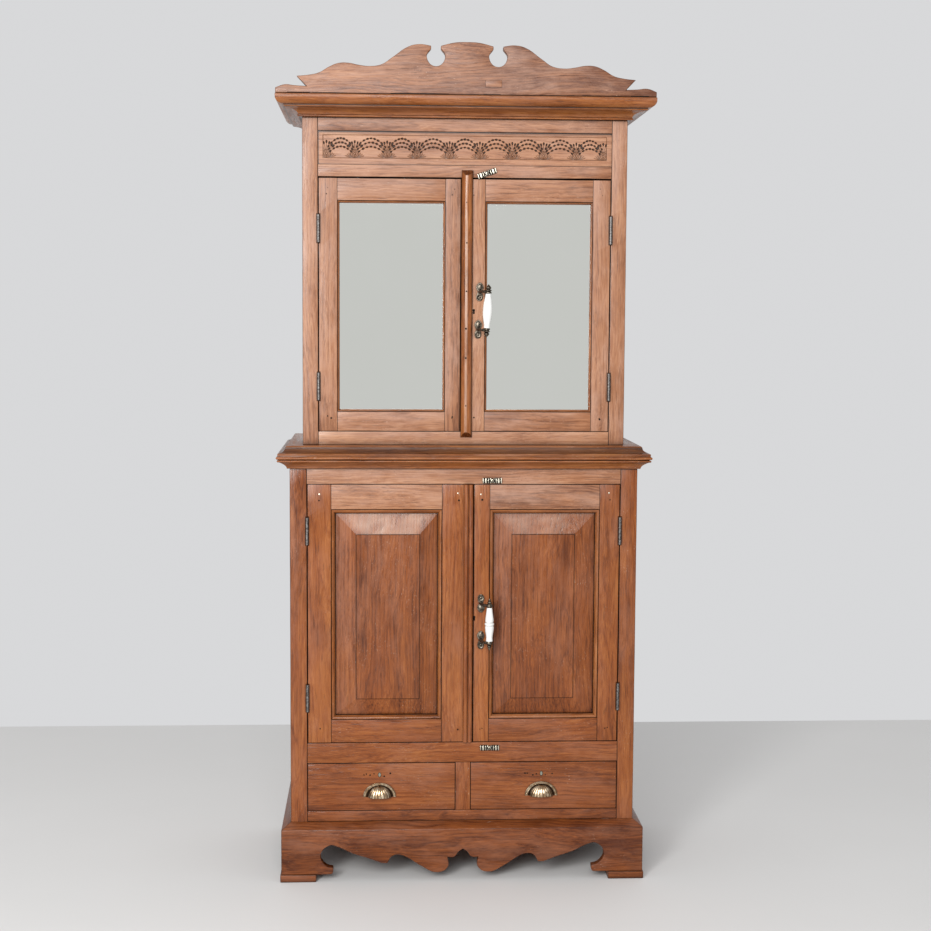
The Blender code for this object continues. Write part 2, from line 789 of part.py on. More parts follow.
def ringed_grip():
    """Two swellings either side of a raised ring."""
    return [
        (0.0070, 0.0440),
        (0.0076, 0.0360),
        (0.0098, 0.0220),
        (0.0112, 0.0090),
        (0.0096, 0.0045),
        (GRIP_RADIUS, 0.0020),
        (GRIP_RADIUS, -0.0005),
        (0.0096, -0.0030),
        (0.0114, -0.0080),
        (0.0106, -0.0180),
        (0.0084, -0.0300),
        (0.0082, -0.0440),
    ]


def handle(stage, place, front, lean, grip_outline):
    """A bow handle: two backplates, arms that swing to the right, a rod with finials and a grip."""
    reach, swing, spread, rod = HANDLE_STANDOFF, HANDLE_SWING, PLATE_SPREAD, ROD_RADIUS
    finial = [
        (0.0, 0.0685),
        (0.0030, 0.0660),
        (0.0046, 0.0625),
        (0.0030, 0.0600),
        (0.0070, 0.0570),
        (0.0056, 0.0545),
        (0.0084, 0.0515),
        (0.0084, 0.0445),
        (rod, 0.0443),
    ]
    profile = finial + [(radius, -height) for radius, height in reversed(finial)]
    at = (place[0], front - reach, place[1])
    bar = turned(f"{stage}_handle_bar", profile, BRONZE, at)
    outline = [(0.0, 0.0245), (0.0102, 0.0130), (0.0058, 0.0005), (0.0086, -0.0130), (0.0, -0.0245)]
    rounded = mirrored([(u, v, True) for u, v in outline])
    root_depth = reach - PLATE_THICK / 2 - GAP
    for end in (-1, 1):
        height = end * spread
        arm = [(-swing, root_depth, height), (-swing * 0.9, reach / 2, height), (0, 0, height)]
        arm_mesh = tube(f"{stage}_handle_arm", arm, ARM_RADIUS)
        stand = Matrix.Translation((-swing, root_depth, height)) @ FACING_FRONT
        plate_mesh = sawn(f"{stage}_handle_plate", rounded, PLATE_THICK, 4, stand)
        for mesh in (arm_mesh, plate_mesh):
            helper = add_object(f"{mesh.name}_{end + 1}", mesh, None, at)
            helper.rotation_euler.y = lean
            boolean(bar, helper, "UNION")
    bore = rod + GAP
    half = grip_outline[0][1]
    grip_profile = grip_outline + [(bore, -half), (bore, half)]
    grip = turned(f"{stage}_handle_grip", grip_profile, CERAMIC, at, closed=True)
    bar.rotation_euler.y = lean
    grip.rotation_euler.y = lean
    return bar, grip


def cup_pull(name, x, z):
    """A half-round cup on a half-round flange, open below and behind."""
    y = FRONT - GAP
    bm = bmesh.new()
    bmesh.ops.create_uvsphere(bm, u_segments=24, v_segments=12, radius=1.0)
    bmesh.ops.scale(bm, vec=(CUP_HALF, CUP_REACH, CUP_HEIGHT), verts=bm.verts)
    cup = mesh_from(bm, name)
    cut_away(cup, (0, -0.0004, 0), (0, 1, 0))
    cut_away(cup, (0, 0, 0.0001), (0, 0, -1))
    pull = add_object(name, cup, BRASS, (x, y, z))
    rim = [
        (0.0, PULL_HEIGHT, True),
        (PULL_HALF * 0.72, PULL_HEIGHT * 0.70, True),
        (PULL_HALF, 0.0001, False),
    ]
    stand = Matrix.Translation((x, y - PULL_FLANGE / 2, z)) @ FACING_FRONT
    rim_mesh = sawn(f"{name}_flange", mirrored(rim), PULL_FLANGE, 6, stand)
    flange = add_object(f"{name}_flange", rim_mesh)
    boolean(pull, flange, "UNION")
    bm = bmesh.new()
    bmesh.ops.create_uvsphere(bm, u_segments=24, v_segments=12, radius=1.0)
    hollow = (CUP_HALF - SHEET, CUP_REACH - SHEET, CUP_HEIGHT - SHEET)
    bmesh.ops.scale(bm, vec=hollow, verts=bm.verts)
    recess = add_object(f"{name}_recess", mesh_from(bm, f"{name}_recess"), None, (x, y, z))
    boolean(pull, recess, "DIFFERENCE")
    return pull


def drawers():
    """Two drawers side by side, each a front, a tray behind it and a cup pull."""
    inner = LOWER_HALF - LOWER_POST - FREE
    low, high = DRAWER_LOW + FREE, DRAWER_HIGH - FREE
    for side, hand, pull_x in ((-1, "left", PULL_X[0]), (1, "right", PULL_X[1])):
        near, far = side * (DIVIDER_HALF + FREE), side * inner
        centre, half = (near + far) / 2, abs(far - near) / 2
        carrier = pivot(f"{hand}_drawer_slide", (centre, FRONT, low))
        depth = (FRONT, FRONT + DRAWER_FRONT)
        face = board(f"drawer_front_{hand}", (near, far), depth, (low, high), LOWER_WOOD)
        start = FRONT + DRAWER_FRONT + GAP
        end = start + TRAY_LENGTH
        outside = half - TRAY_INSET
        inside = outside - TRAY_WALL
        tray_high = high - TRAY_DROP
        rings = [
            plan_ring(outside, start, end, low),
            plan_ring(outside, start, end, tray_high),
            plan_ring(inside, start + TRAY_WALL, end - TRAY_WALL, tray_high),
            plan_ring(inside, start + TRAY_WALL, end - TRAY_WALL, low + TRAY_FLOOR),
        ]
        tray = loft(f"drawer_tray_{hand}", rings, INSIDE_WOOD)
        tray.location.x = centre
        hang(carrier, face, tray, cup_pull(f"cup_pull_{hand}", pull_x, PULL_LOW))


def turn_button(name, place, front, tilt):
    """A small turning catch, at rest clear of the door that it fastens."""
    half, across = BUTTON_LENGTH / 2, BUTTON_WIDTH / 2
    nose = half - BUTTON_NOSE
    outline = [
        (0.0, across, False),
        (nose, across, False),
        (half, 0.0, True),
        (nose, -across, False),
        (0.0, -across, False),
    ]
    mesh = sawn(name, mirrored(outline), BUTTON_THICK, 4, FACING_FRONT)
    at = (place[0], front - GAP - BUTTON_THICK / 2, place[1])
    add_object(name, mesh, BRASS, at).rotation_euler.y = tilt


def turn_buttons():
    turn_button("turn_button_upper", UPPER_BUTTON, UPPER_FRONT, -BUTTON_TILT)
    turn_button("turn_button_door_top", DOOR_TOP_BUTTON, FRONT, 0.0)
    turn_button("turn_button_door_foot", DOOR_FOOT_BUTTON, FRONT, 0.0)


plinth()
feet()
lower_carcass()
upper_carcass()
crest()
lower_doors()
upper_doors()
hinges()
drawers()
turn_buttons()
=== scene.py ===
"""The looks of a teak step-back armoire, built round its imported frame.

Metres, +Z up, front towards -Y. A piece is made in world coordinates, with its object at the
origin. Each wooden mesh carries a "grain" vector: its x runs along the fibres, and its y and z
run across them from the heart of the tree. Its "tone" makes one board paler or darker than the
next.
"""

import math
import random

import bmesh
import bpy
import numpy as np
from mathutils import Matrix, Vector


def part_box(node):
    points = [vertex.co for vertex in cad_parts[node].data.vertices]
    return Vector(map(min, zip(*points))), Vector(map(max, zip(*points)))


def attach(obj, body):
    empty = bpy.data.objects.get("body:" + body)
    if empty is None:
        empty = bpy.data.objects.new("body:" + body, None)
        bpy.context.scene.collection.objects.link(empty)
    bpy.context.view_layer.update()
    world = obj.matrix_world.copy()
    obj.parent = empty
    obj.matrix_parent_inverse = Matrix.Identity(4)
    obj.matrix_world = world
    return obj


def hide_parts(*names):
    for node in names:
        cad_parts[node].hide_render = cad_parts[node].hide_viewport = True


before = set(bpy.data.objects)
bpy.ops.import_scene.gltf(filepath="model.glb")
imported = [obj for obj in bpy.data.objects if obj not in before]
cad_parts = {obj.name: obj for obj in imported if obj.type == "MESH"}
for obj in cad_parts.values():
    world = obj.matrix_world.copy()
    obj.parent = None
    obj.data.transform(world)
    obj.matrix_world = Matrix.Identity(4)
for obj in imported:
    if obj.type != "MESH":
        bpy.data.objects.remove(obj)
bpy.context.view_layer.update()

# ------------------------------------------------------------------ places from the frame

HANDS = ("left", "right")
GAP = 0.0003
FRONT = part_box("lower_post_left")[0].y
UPPER_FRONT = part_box("upper_post_left")[0].y
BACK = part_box("lower_back")[1].y
LOWER_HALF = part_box("lower_post_right")[1].x
UPPER_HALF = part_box("upper_post_right")[1].x
DOOR_THICK = 0.022
PANEL_LAP = 0.0023  # how far a panel's edge stops short of where its frame's moulding starts
MIRROR_LAP = 0.0017  # how far a mirror runs past where its frame's moulding starts
STATION = 0.045  # spacing of the cross-sections along a length of wood
BRONZE = "dark_bronze"
BUTTON_TILT = math.radians(20)  # the upper turn button's lean
CREST_TONE = -0.20
CREST_PAINTED_SHADE = 0.42  # painted shade: how much darker the crest grows to the right, in tone per metre
SLAB_INSET = 0.040  # how far a slab's moulding reaches in over the carcass
REBATE = 0.008  # how far in a door's rebate starts
KNUCKLE_RADIUS = 0.0038
KNUCKLE_PROUD = 0.0041  # from a hinge's pin back to the wood's face
MOULDED = "moulding_wood"
JOINT_SOOT = 0.85  # how black the arrises of boards are


# ------------------------------------------------------------------ materials


class Nodes:
    """One material's nodes, made with short calls."""

    def __init__(self, name):
        self.material = bpy.data.materials.new(name)
        self.material.use_nodes = True
        self.tree = self.material.node_tree
        self.shader = self.tree.nodes["Principled BSDF"]

    def feed(self, socket, value):
        if isinstance(value, bpy.types.NodeSocket):
            self.tree.links.new(value, socket)
        elif socket.type == "RGBA":
            socket.default_value = (*value, 1.0)
        else:
            socket.default_value = value

    def add(self, kind, inputs=(), **settings):
        made = self.tree.nodes.new("ShaderNode" + kind)
        for key, value in settings.items():
            setattr(made, key, value)
        for key, value in dict(inputs).items():
            self.feed(made.inputs[key], value)
        return made

    def vector(self, name):
        return self.add("Attribute", attribute_name=name).outputs["Vector"]

    def number(self, name):
        return self.add("Attribute", attribute_name=name).outputs["Fac"]

    def place(self):
        return self.add("TexCoord").outputs["Object"]

    def scaled(self, vector, scale):
        made = self.add("VectorMath", {0: vector, 1: scale}, operation="MULTIPLY")
        return made.outputs["Vector"]

    def noise(self, vector, scale=1.0, detail=3.0, roughness=0.55):
        inputs = {"Vector": vector, "Scale": scale, "Detail": detail, "Roughness": roughness}
        return self.add("TexNoise", inputs).outputs["Fac"]

    def math(self, operation, a, b=0.0):
        return self.add("Math", {0: a, 1: b}, operation=operation).outputs[0]

    def ramp(self, value, stops):
        made = self.add("ValToRGB", {"Fac": value})
        elements = made.color_ramp.elements
        while len(elements) < len(stops):
            elements.new(0.5)
        for element, (position, colour) in zip(elements, stops):
            element.position = position
            element.color = (*colour, 1.0)
        return made.outputs["Color"]

    def level(self, value, low, high, to_low=0.0, to_high=1.0):
        inputs = {"Value": value, 1: low, 2: high, 3: to_low, 4: to_high}
        return self.add("MapRange", inputs, interpolation_type="SMOOTHSTEP").outputs["Result"]

    def mix(self, factor, a, b, blend="MIX"):
        made = self.add("Mix", {0: factor, 6: a, 7: b}, data_type="RGBA", blend_type=blend)
        return made.outputs[2]

    def crevice(self, reach):
        """How open a place is, from 0 in a corner to 1 in the open."""
        made = self.add("AmbientOcclusion", {"Distance": reach}, samples=6)
        return made.outputs["AO"]

    def bump(self, height, distance, strength=1.0):
        made = self.add("Bump", {"Height": height, "Distance": distance, "Strength": strength})
        self.feed(self.shader.inputs["Normal"], made.outputs["Normal"])

    def surface(self, **inputs):
        for key, value in inputs.items():
            self.feed(self.shader.inputs[key.replace("_", " ")], value)
        return self.material


WORN_BARE_AND_SHEEN = (0.48, 0.32, 0.235)  # wood rubbed down to its bare colour, also the colour of painted highlights
ORANGE_CAST = (1.00, 0.88, 0.70)  # what old polish lets through where it lies thick
# Black for the soot layer: dark joints and soot, and painted shade in creases, hollows, carvings
# and between moulding members.
BLACK_DIRT_AND_SHADE = (0.024, 0.010, 0.005)
RING_WIDTH = 0.0095
RING_STOPS = [  # how pale a growth ring is across its width
    (place, (pale, pale, pale))
    for place, pale in ((0.0, 0.0), (0.10, 0.35), (0.50, 0.90), (0.88, 0.75), (1.0, 0.0))
]


def wood(name, deep, middle, pale, worn, gloss, wear, shine):
    """Teak: growth rings, bands, streaks and pores along the grain, waxed and scratched."""
    n = Nodes(name)
    grain = n.vector("grain")

    def fibres(along, across, detail=3.0, roughness=0.55, place=grain):
        """Noise at one scale along the fibres and another across them."""
        return n.noise(n.scaled(place, (along, across, across)), 1.0, detail, roughness)

    shift = n.scaled(n.math("SUBTRACT", fibres(1.9, 8.0), 0.5), (0.0, 0.075, 0.075))
    swayed = n.add("VectorMath", {0: grain, 1: shift}, operation="ADD").outputs["Vector"]
    radius = n.add("VectorMath", {0: n.scaled(swayed, (0.0, 1.0, 1.0))}, operation="LENGTH")
    turns = n.math("MULTIPLY", radius.outputs["Value"], 1.0 / RING_WIDTH)
    rings = n.ramp(n.math("FRACT", turns), RING_STOPS)
    bands = fibres(0.9, 34.0, place=swayed)
    streaks = fibres(3.2, 160.0, 5.0, 0.66, swayed)
    hairs = fibres(14.0, 520.0, 2.0, place=swayed)
    clouds = fibres(4.5, 12.0, 5.0, 0.65)
    blend = n.math("MULTIPLY", rings, 0.22)
    for share, part in ((0.60, bands), (0.58, streaks), (0.90, hairs), (0.88, clouds)):
        blend = n.math("ADD", blend, n.math("MULTIPLY", n.math("SUBTRACT", part, 0.5), share))
    toned = n.math("ADD", n.math("ADD", blend, 0.30), n.number("tone"))
    colour = n.ramp(toned, [(0.0, deep), (0.45, middle), (0.90, pale)])
    patch = fibres(5.0, 14.0, 6.0, 0.72)
    colour = n.mix(n.level(patch, 0.42, 0.72, 0.0, wear), colour, worn)
    warmth = fibres(3.0, 10.0, 4.0, 0.6)
    colour = n.mix(n.level(warmth, 0.42, 0.66, 0.0, 0.45), colour, ORANGE_CAST, "MULTIPLY")
    dark = tuple(0.40 * channel for channel in deep)
    stain = fibres(8.0, 27.0, 5.0, 0.68)
    colour = n.mix(n.level(stain, 0.64, 0.78, 0.0, 0.55), colour, dark)
    pores = fibres(15.0, 380.0, 1.0)
    colour = n.mix(n.level(pores, 0.62, 0.72, 0.0, 0.4), colour, dark)
    for angle, tint, share in ((24.0, WORN_BARE_AND_SHEEN, 0.45), (-37.0, dark, 0.6)):
        turn = {"Vector": grain, "Rotation": (math.radians(angle), math.radians(angle), 0.0)}
        askew = n.add("VectorRotate", turn, rotation_type="EULER_XYZ").outputs["Vector"]
        scores = n.level(fibres(16.0, 600.0, 0.0, place=askew), 0.76, 0.82, 0.0, share)
        gaps = n.level(fibres(9.0, 9.0, 2.0), 0.52, 0.62)
        colour = n.mix(n.math("MULTIPLY", scores, gaps), colour, tint)
    # Paled towards bare wood where a mesh asks: along the astragal's ridge, and on the lower
    # panels' top bevels as a painted highlight.
    rubbed_and_sheen = n.math("MULTIPLY", n.number("wear"), n.level(patch, 0.28, 0.50))
    colour = n.mix(rubbed_and_sheen, colour, WORN_BARE_AND_SHEEN)
    # Blackened where the mesh's soot layer says: real dark joints and soot, and painted shade.
    colour = n.mix(n.number("soot"), colour, BLACK_DIRT_AND_SHADE)
    # Painted shade, with some grime: the colour is darkened towards black-brown in corners,
    # recesses and under mouldings.
    hollow = n.level(n.crevice(0.022), 0.25, 0.90, 0.8, 0.0)
    colour = n.mix(hollow, colour, tuple(0.16 * channel for channel in deep))
    height = n.math("ADD", n.math("MULTIPLY", streaks, 0.6), n.math("MULTIPLY", rings, 0.25))
    height = n.math("SUBTRACT", height, n.math("MULTIPLY", n.level(pores, 0.6, 0.72), 0.35))
    n.bump(height, 0.0007, 0.55)
    sheen = n.math("ADD", n.math("MULTIPLY", streaks, 0.5), n.math("MULTIPLY", patch, 0.5))
    rough = n.level(sheen, 0.36, 0.64, gloss - 0.08, gloss + 0.14)
    return n.surface(Base_Color=colour, Roughness=rough, Specular_IOR_Level=shine)


def metal(name, base, worn, tarnish, roughness, scale=220.0, dents=0.0002):
    """Old cast metal: bright where it is worn, and dark in its hollows."""
    n = Nodes(name)
    spots = n.noise(n.place(), scale, 4.0, 0.6)
    colour = n.mix(n.level(spots, 0.40, 0.65), base, worn)
    # Blackened towards tarnish where the soot layer says; on the cup pulls this also carries
    # painted shade.
    colour = n.mix(n.number("soot"), colour, tarnish)
    hollow = n.level(n.crevice(0.005), 0.2, 0.9, 0.9, 0.0)
    colour = n.mix(hollow, colour, tarnish)
    n.bump(n.noise(n.place(), 3 * scale, 3.0), dents, 0.5)
    rough = n.level(spots, 0.3, 0.7, roughness - 0.08, roughness + 0.12)
    return n.surface(Base_Color=colour, Roughness=rough, Metallic=1.0)


def mirror_glass():
    """Silvered glass, a little cloudy, and foxed in a few places."""
    n = Nodes("mirror_glass")
    haze = n.noise(n.place(), 6.0, 4.0)
    colour = n.mix(haze, (0.800, 0.810, 0.755), (0.815, 0.825, 0.775))
    foxing = n.noise(n.place(), 60.0, 5.0, 0.7)
    colour = n.mix(n.level(foxing, 0.74, 0.82, 0.0, 0.5), colour, (0.30, 0.27, 0.22))
    rough = n.level(haze, 0.2, 0.8, 0.012, 0.035)
    return n.surface(Base_Color=colour, Roughness=rough, Metallic=1.0)


def ceramic():
    """White glaze with faint specks and a soft, uneven surface."""
    n = Nodes("white_ceramic")
    cloud = n.noise(n.place(), 90.0, 3.0)
    colour = n.mix(cloud, (0.70, 0.705, 0.69), (0.60, 0.60, 0.58))
    specks = n.noise(n.place(), 900.0, 1.0)
    colour = n.mix(n.level(specks, 0.74, 0.80, 0.0, 0.5), colour, (0.30, 0.28, 0.25))
    n.bump(cloud, 0.0004, 0.4)
    rough = n.level(cloud, 0.3, 0.7, 0.10, 0.18)
    return n.surface(Base_Color=colour, Roughness=rough, Coat_Weight=0.5, Coat_Roughness=0.06)


def shadow_black():
    """Near-black: painted shade in holes, gaps, slots and grooves, with soot and old polish."""
    n = Nodes("hole_dark")
    dust = n.noise(n.place(), 700.0, 3.0)
    return n.surface(
        Base_Color=n.mix(dust, (0.004, 0.003, 0.003), (0.012, 0.009, 0.007)),
        Roughness=n.level(dust, 0.3, 0.7, 0.6, 0.9),
        Specular_IOR_Level=0.08,
    )


def filler():
    """Grey-green putty, pitted and dirty."""
    n = Nodes("filler")
    cloud = n.noise(n.place(), 400.0, 4.0, 0.7)
    n.bump(cloud, 0.0004, 0.6)
    return n.surface(
        Base_Color=n.mix(cloud, (0.10, 0.10, 0.075), (0.24, 0.24, 0.19)),
        Roughness=n.level(cloud, 0.3, 0.7, 0.6, 0.8),
    )


def pale_floor():
    n = Nodes("studio_floor")
    cloud = n.noise(n.place(), 1.3, 3.0)
    grit = n.noise(n.place(), 260.0, 2.0)
    n.bump(grit, 0.0006, 0.3)
    colour = n.mix(cloud, (0.60, 0.595, 0.585), (0.64, 0.635, 0.625))
    return n.surface(Base_Color=colour, Roughness=n.level(grit, 0.2, 0.8, 0.7, 0.85))


WOODS = {  # deep, middle, pale and worn colours, then gloss, wear and shine
    "upper_wood": (
        (0.100, 0.034, 0.015), (0.255, 0.110, 0.054), (0.385, 0.200, 0.112), (0.43, 0.26, 0.19),
        0.36, 0.45, 0.32,
    ),
    # lower_wood is a darker copy of the teak: partly its own colour, partly painted shade towards
    # the floor.
    "lower_wood": (
        (0.060, 0.014, 0.004), (0.178, 0.049, 0.011), (0.290, 0.100, 0.027), (0.27, 0.110, 0.060),
        0.28, 0.40, 0.30,
    ),
    "moulding_wood": (
        (0.065, 0.016, 0.005), (0.210, 0.066, 0.016), (0.330, 0.130, 0.040), (0.31, 0.14, 0.08),
        0.28, 0.35, 0.28,
    ),
    "inside_wood": (
        (0.12, 0.055, 0.027), (0.27, 0.150, 0.078), (0.38, 0.235, 0.135), (0.30, 0.20, 0.13),
        0.60, 0.40, 0.40,
    ),
}
METALS = {  # base, worn and tarnished colours, then roughness, and the size and depth of its pits
    "brass": ((0.38, 0.25, 0.14), (0.70, 0.58, 0.42), (0.030, 0.015, 0.008), 0.27, 70.0, 0.00008),
    "pale_brass": ((0.44, 0.41, 0.32), (0.62, 0.585, 0.49), (0.030, 0.024, 0.017), 0.32),
    "dark_bronze": ((0.062, 0.050, 0.038), (0.20, 0.172, 0.135), (0.014, 0.010, 0.008), 0.36),
    "hinge_steel": ((0.10, 0.09, 0.085), (0.22, 0.21, 0.20), (0.02, 0.014, 0.012), 0.42),
}
MATERIALS = {
    **{name: wood(name, *look) for name, look in WOODS.items()},
    **{name: metal(name, *look) for name, look in METALS.items()},
    "mirror_glass": mirror_glass(),
    "white_ceramic": ceramic(),
    "hole_dark": shadow_black(),
    "filler": filler(),
}


# ------------------------------------------------------------------ pieces


def linked(name, data):
    """A new object in the scene."""
    made = bpy.data.objects.new(name, data)
    bpy.context.scene.collection.objects.link(made)
    return made


def meshed(name, bm):
    mesh = bpy.data.meshes.new(name)
    bm.to_mesh(mesh)
    bm.free()
    return mesh


def settle(name, mesh, finish, body, stands_for=(), smooth=None):
    """Gives a mesh its finish, and puts it on its body."""
    mesh.materials.append(MATERIALS[finish])
    if smooth:
        mesh.shade_smooth()
        mesh.set_sharp_from_angle(angle=math.radians(smooth))
    made = linked(name, mesh)
    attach(made, body)
    if stands_for:
        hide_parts(*stands_for)
    return made


def piece(name, bm, finish, body, stands_for=(), smooth=None):
    bmesh.ops.recalc_face_normals(bm, faces=bm.faces)
    return settle(name, meshed(name, bm), finish, body, stands_for, smooth)


UPRIGHT = Matrix.Identity(4)
FACING = Matrix.Rotation(math.radians(90), 4, "X")  # turns a shape's top, +Z, towards -Y
ALONG = {"X": (0, 2, 1), "Y": (1, 2, 0), "Z": (2, 0, 1)}


def give_grain(made, grain, tone=0.0):
    """Writes the board's grain and tone, with its own place in its own tree."""
    mesh = made.data
    for old in ("grain", "tone"):
        if old in mesh.attributes:
            mesh.attributes.remove(mesh.attributes[old])
    chance = random.Random(made.name)
    points = np.empty(3 * len(mesh.vertices), np.float32)
    mesh.vertices.foreach_get("co", points)
    points = points.reshape(-1, 3)
    middle = (points.min(0) + points.max(0)) / 2
    along, across, into = ALONG[grain]
    run = points[:, along] - middle[along]
    lean_across = chance.uniform(-0.035, 0.035)
    lean_into = chance.uniform(-0.05, 0.05)
    placed = np.stack(
        [
            run + chance.uniform(0.0, 60.0),
            points[:, across] - middle[across] + chance.uniform(-0.09, 0.09) + run * lean_across,
            points[:, into] - middle[into] + chance.uniform(0.015, 0.09) + run * lean_into,
        ],
        axis=1,
    )
    tones = np.full(len(points), tone + chance.uniform(-0.05, 0.05), np.float32)
    rows = (("grain", "FLOAT_VECTOR", "vector", placed.ravel()), ("tone", "FLOAT", "value", tones))
    for name, kind, key, values in rows:
        mesh.attributes.new(name, kind, "POINT").data.foreach_set(key, values)
    return made


def rectangle(across, up):
    """Its corners, round from the first of each pair."""
    (a0, a1), (b0, b1) = across, up
    return [(a0, b0), (a1, b0), (a1, b1), (a0, b1)]


def loft(bm, outlines):
    """Joins each outline to the next, which has as many corners, and closes both ends."""
    rings = [[bm.verts.new(corner) for corner in outline] for outline in outlines]
    bm.faces.new(rings[0])
    bm.faces.new(rings[-1])
    for near, far in zip(rings, rings[1:]):
        for i in range(len(near)):
            bm.faces.new((near[i - 1], near[i], far[i], far[i - 1]))
    return rings


def extruded(outline, push):
    """A closed shape: a flat outline pushed along a vector."""
    bm = bmesh.new()
    face = bm.faces.new([bm.verts.new(corner) for corner in outline])
    raised = bmesh.ops.extrude_face_region(bm, geom=[face])["geom"]
    ends = [item for item in raised if isinstance(item, bmesh.types.BMVert)]
    bmesh.ops.translate(bm, verts=ends, vec=push)
    return bm


def ease_edges(bm, angle, width, strength, chance):
    """Rounds the edges sharper than an angle, with grime along the middle of each rounding."""
    sharp = [e for e in bm.edges if e.calc_face_angle(0.0) > math.radians(angle)]
    made = bmesh.ops.bevel(
        bm, geom=sharp, offset=width, segments=2, profile=0.6, affect="EDGES", clamp_overlap=True
    )
    soot = bm.verts.layers.float["soot"]
    rounded = set(made["faces"])
    for vert in bm.verts:
        if all(face in rounded for face in vert.link_faces):
            vert[soot] = strength * chance.uniform(0.6, 1.0)


def bar(name, start, end, grain, finish, body="carcass", stands_for=(), tone=0.0, edge=0.001,
        smooth=38, worn=0.0004, shade_and_dirt=()):
    """A length of wood from one outline to another with as many corners, its edges worn.

    Each corner between the ends moves in a little way, so that no edge is quite straight. The
    last argument is how black each corner is painted, with painted shade and dirt; without it,
    the rounded edges are blackened instead.
    """
    chance = random.Random(name)
    start = [Vector(corner) for corner in start]
    end = [Vector(corner) for corner in end]
    middle = sum(start, Vector()) / len(start)
    run = end[0] - start[0]
    steps = max(1, round(run.length / STATION))
    outlines, blacks = [], []
    for step in range(steps + 1):
        share = step / steps
        outlines.append([])
        for low, high in zip(start, end):
            corner = low.lerp(high, share)
            inward = middle + run * share - corner
            inward -= inward.project(run)
            if inward.length:
                corner = corner + inward.normalized() * chance.uniform(0.0, worn)
            outlines[-1].append(corner)
        blacks.append([black * chance.uniform(0.75, 1.0) for black in shade_and_dirt])
    bm = bmesh.new()
    soot = bm.verts.layers.float.new("soot")
    for ring, row in zip(loft(bm, outlines), blacks):
        for vert, black in zip(ring, row):
            vert[soot] = black
    bmesh.ops.recalc_face_normals(bm, faces=bm.faces)
    if edge:
        ease_edges(bm, 50, edge, JOINT_SOOT, chance)
    return give_grain(piece(name, bm, finish, body, stands_for, smooth), grain, tone)


def plank(name, x, y, z, grain, finish, body="carcass", stands_for=(), tone=0.0, edge=0.001):
    """A squared board between two limits on each axis."""
    x, y, z = (sorted(pair) for pair in (x, y, z))
    if grain == "X":
        ends = [[(at, *corner) for corner in rectangle(y, z)] for at in x]
    elif grain == "Y":
        ends = [[(across, at, up) for across, up in rectangle(x, z)] for at in y]
    else:
        ends = [[(*corner, at) for corner in rectangle(x, y)] for at in z]
    return bar(name, *ends, grain, finish, body, stands_for, tone, edge)


def node_plank(node, grain, finish, tone=0.0, edge=0.001, body="carcass"):
    """A board that fills a node's box and stands for it."""
    spans = zip(*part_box(node))
    return plank(f"{node}_board", *spans, grain, finish, body, (node,), tone, edge)


def mm(points):
    """Points given in millimetres, in metres. What follows the first two numbers stays as it is."""
    return [(across / 1000, up / 1000, *rest) for across, up, *rest in points]


def arc(centre, radius, start, end, count, shade_and_dirt=()):
    """Points on an arc, in degrees, as (across, up) and any dirt."""
    angles = [math.radians(start + (end - start) * i / count) for i in range(count + 1)]
    return [
        (centre[0] + radius * math.cos(a), centre[1] + radius * math.sin(a), *shade_and_dirt) for a in angles
    ]


def moulding(stem, node, section, half, front):
    """Mitred lengths of moulding along the front and both ends of a slab.

    The section is (outward, up, black) from the carcass's face and the slab's underside, in
    millimetres; black is painted shade in the hollows and between the members, with dirt. It is
    closed by a flat foot and a flat top that reach in over the carcass.
    """
    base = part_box(node)[0].z
    section = mm(section)
    section = [(-SLAB_INSET, 0.0, 0.0), *section, (-SLAB_INSET, section[-1][1], 0.0)]
    look = {"edge": 0.0, "smooth": 30, "worn": 0.0002, "shade_and_dirt": [black for _, _, black in section]}

    def outline(x_of, y_of):
        return [(x_of(out), y_of(out), base + up) for out, up, _ in section]

    left = outline(lambda out: -half - out, lambda out: front - out)
    right = outline(lambda out: half + out, lambda out: front - out)
    bar(f"{stem}_front", left, right, "X", MOULDED, stands_for=(node,), **look)
    for corner, side, hand in ((left, -1, "left"), (right, 1, "right")):
        rear = outline(lambda out: side * (half + out), lambda out: BACK)
        bar(f"{stem}_{hand}", corner, rear, "Y", MOULDED, **look)


def copied(name, node, grain, finish, edge, tone=0.0):
    """A node's own shape with its flat faces joined up again and its edges rounded."""
    bm = bmesh.new()
    bm.from_mesh(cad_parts[node].data)
    bm.verts.layers.float.new("soot")
    bmesh.ops.remove_doubles(bm, verts=bm.verts, dist=0.00002)
    bmesh.ops.dissolve_limit(bm, angle_limit=math.radians(1), verts=bm.verts, edges=bm.edges)
    ease_edges(bm, 40, edge, 0.6 * JOINT_SOOT, random.Random(node))
    bmesh.ops.triangulate(bm, faces=[face for face in bm.faces if len(face.verts) > 4])
    return give_grain(piece(name, bm, finish, "carcass", (node,), 38), grain, tone)


def turned(name, profile, at, finish, body, turn=FACING, steps=24, smooth=40, stands_for=()):
    """A shape turned about Z from (radius, height) points, then stood by a matrix."""
    bm = bmesh.new()
    rings = []
    angles = [2 * math.pi * i / steps for i in range(steps)]
    for radius, height in profile:
        around = [(radius * math.cos(a), radius * math.sin(a)) for a in angles]
        if radius <= 0:
            around = [(0, 0)]
        rings.append([bm.verts.new((*spot, height)) for spot in around])
    for near, far in zip(rings, rings[1:]):
        for a in range(steps):
            b = (a + 1) % steps
            corners = (near[a % len(near)], near[b % len(near)])
            corners += (far[b % len(far)], far[a % len(far)])
            unique = list(dict.fromkeys(corners))
            if len(unique) > 2:
                bm.faces.new(unique)
    for ring in (rings[0], rings[-1]):
        if len(ring) > 2:
            bm.faces.new(ring)
    bm.transform(Matrix.Translation(at) @ turn)
    return piece(name, bm, finish, body, stands_for, smooth)


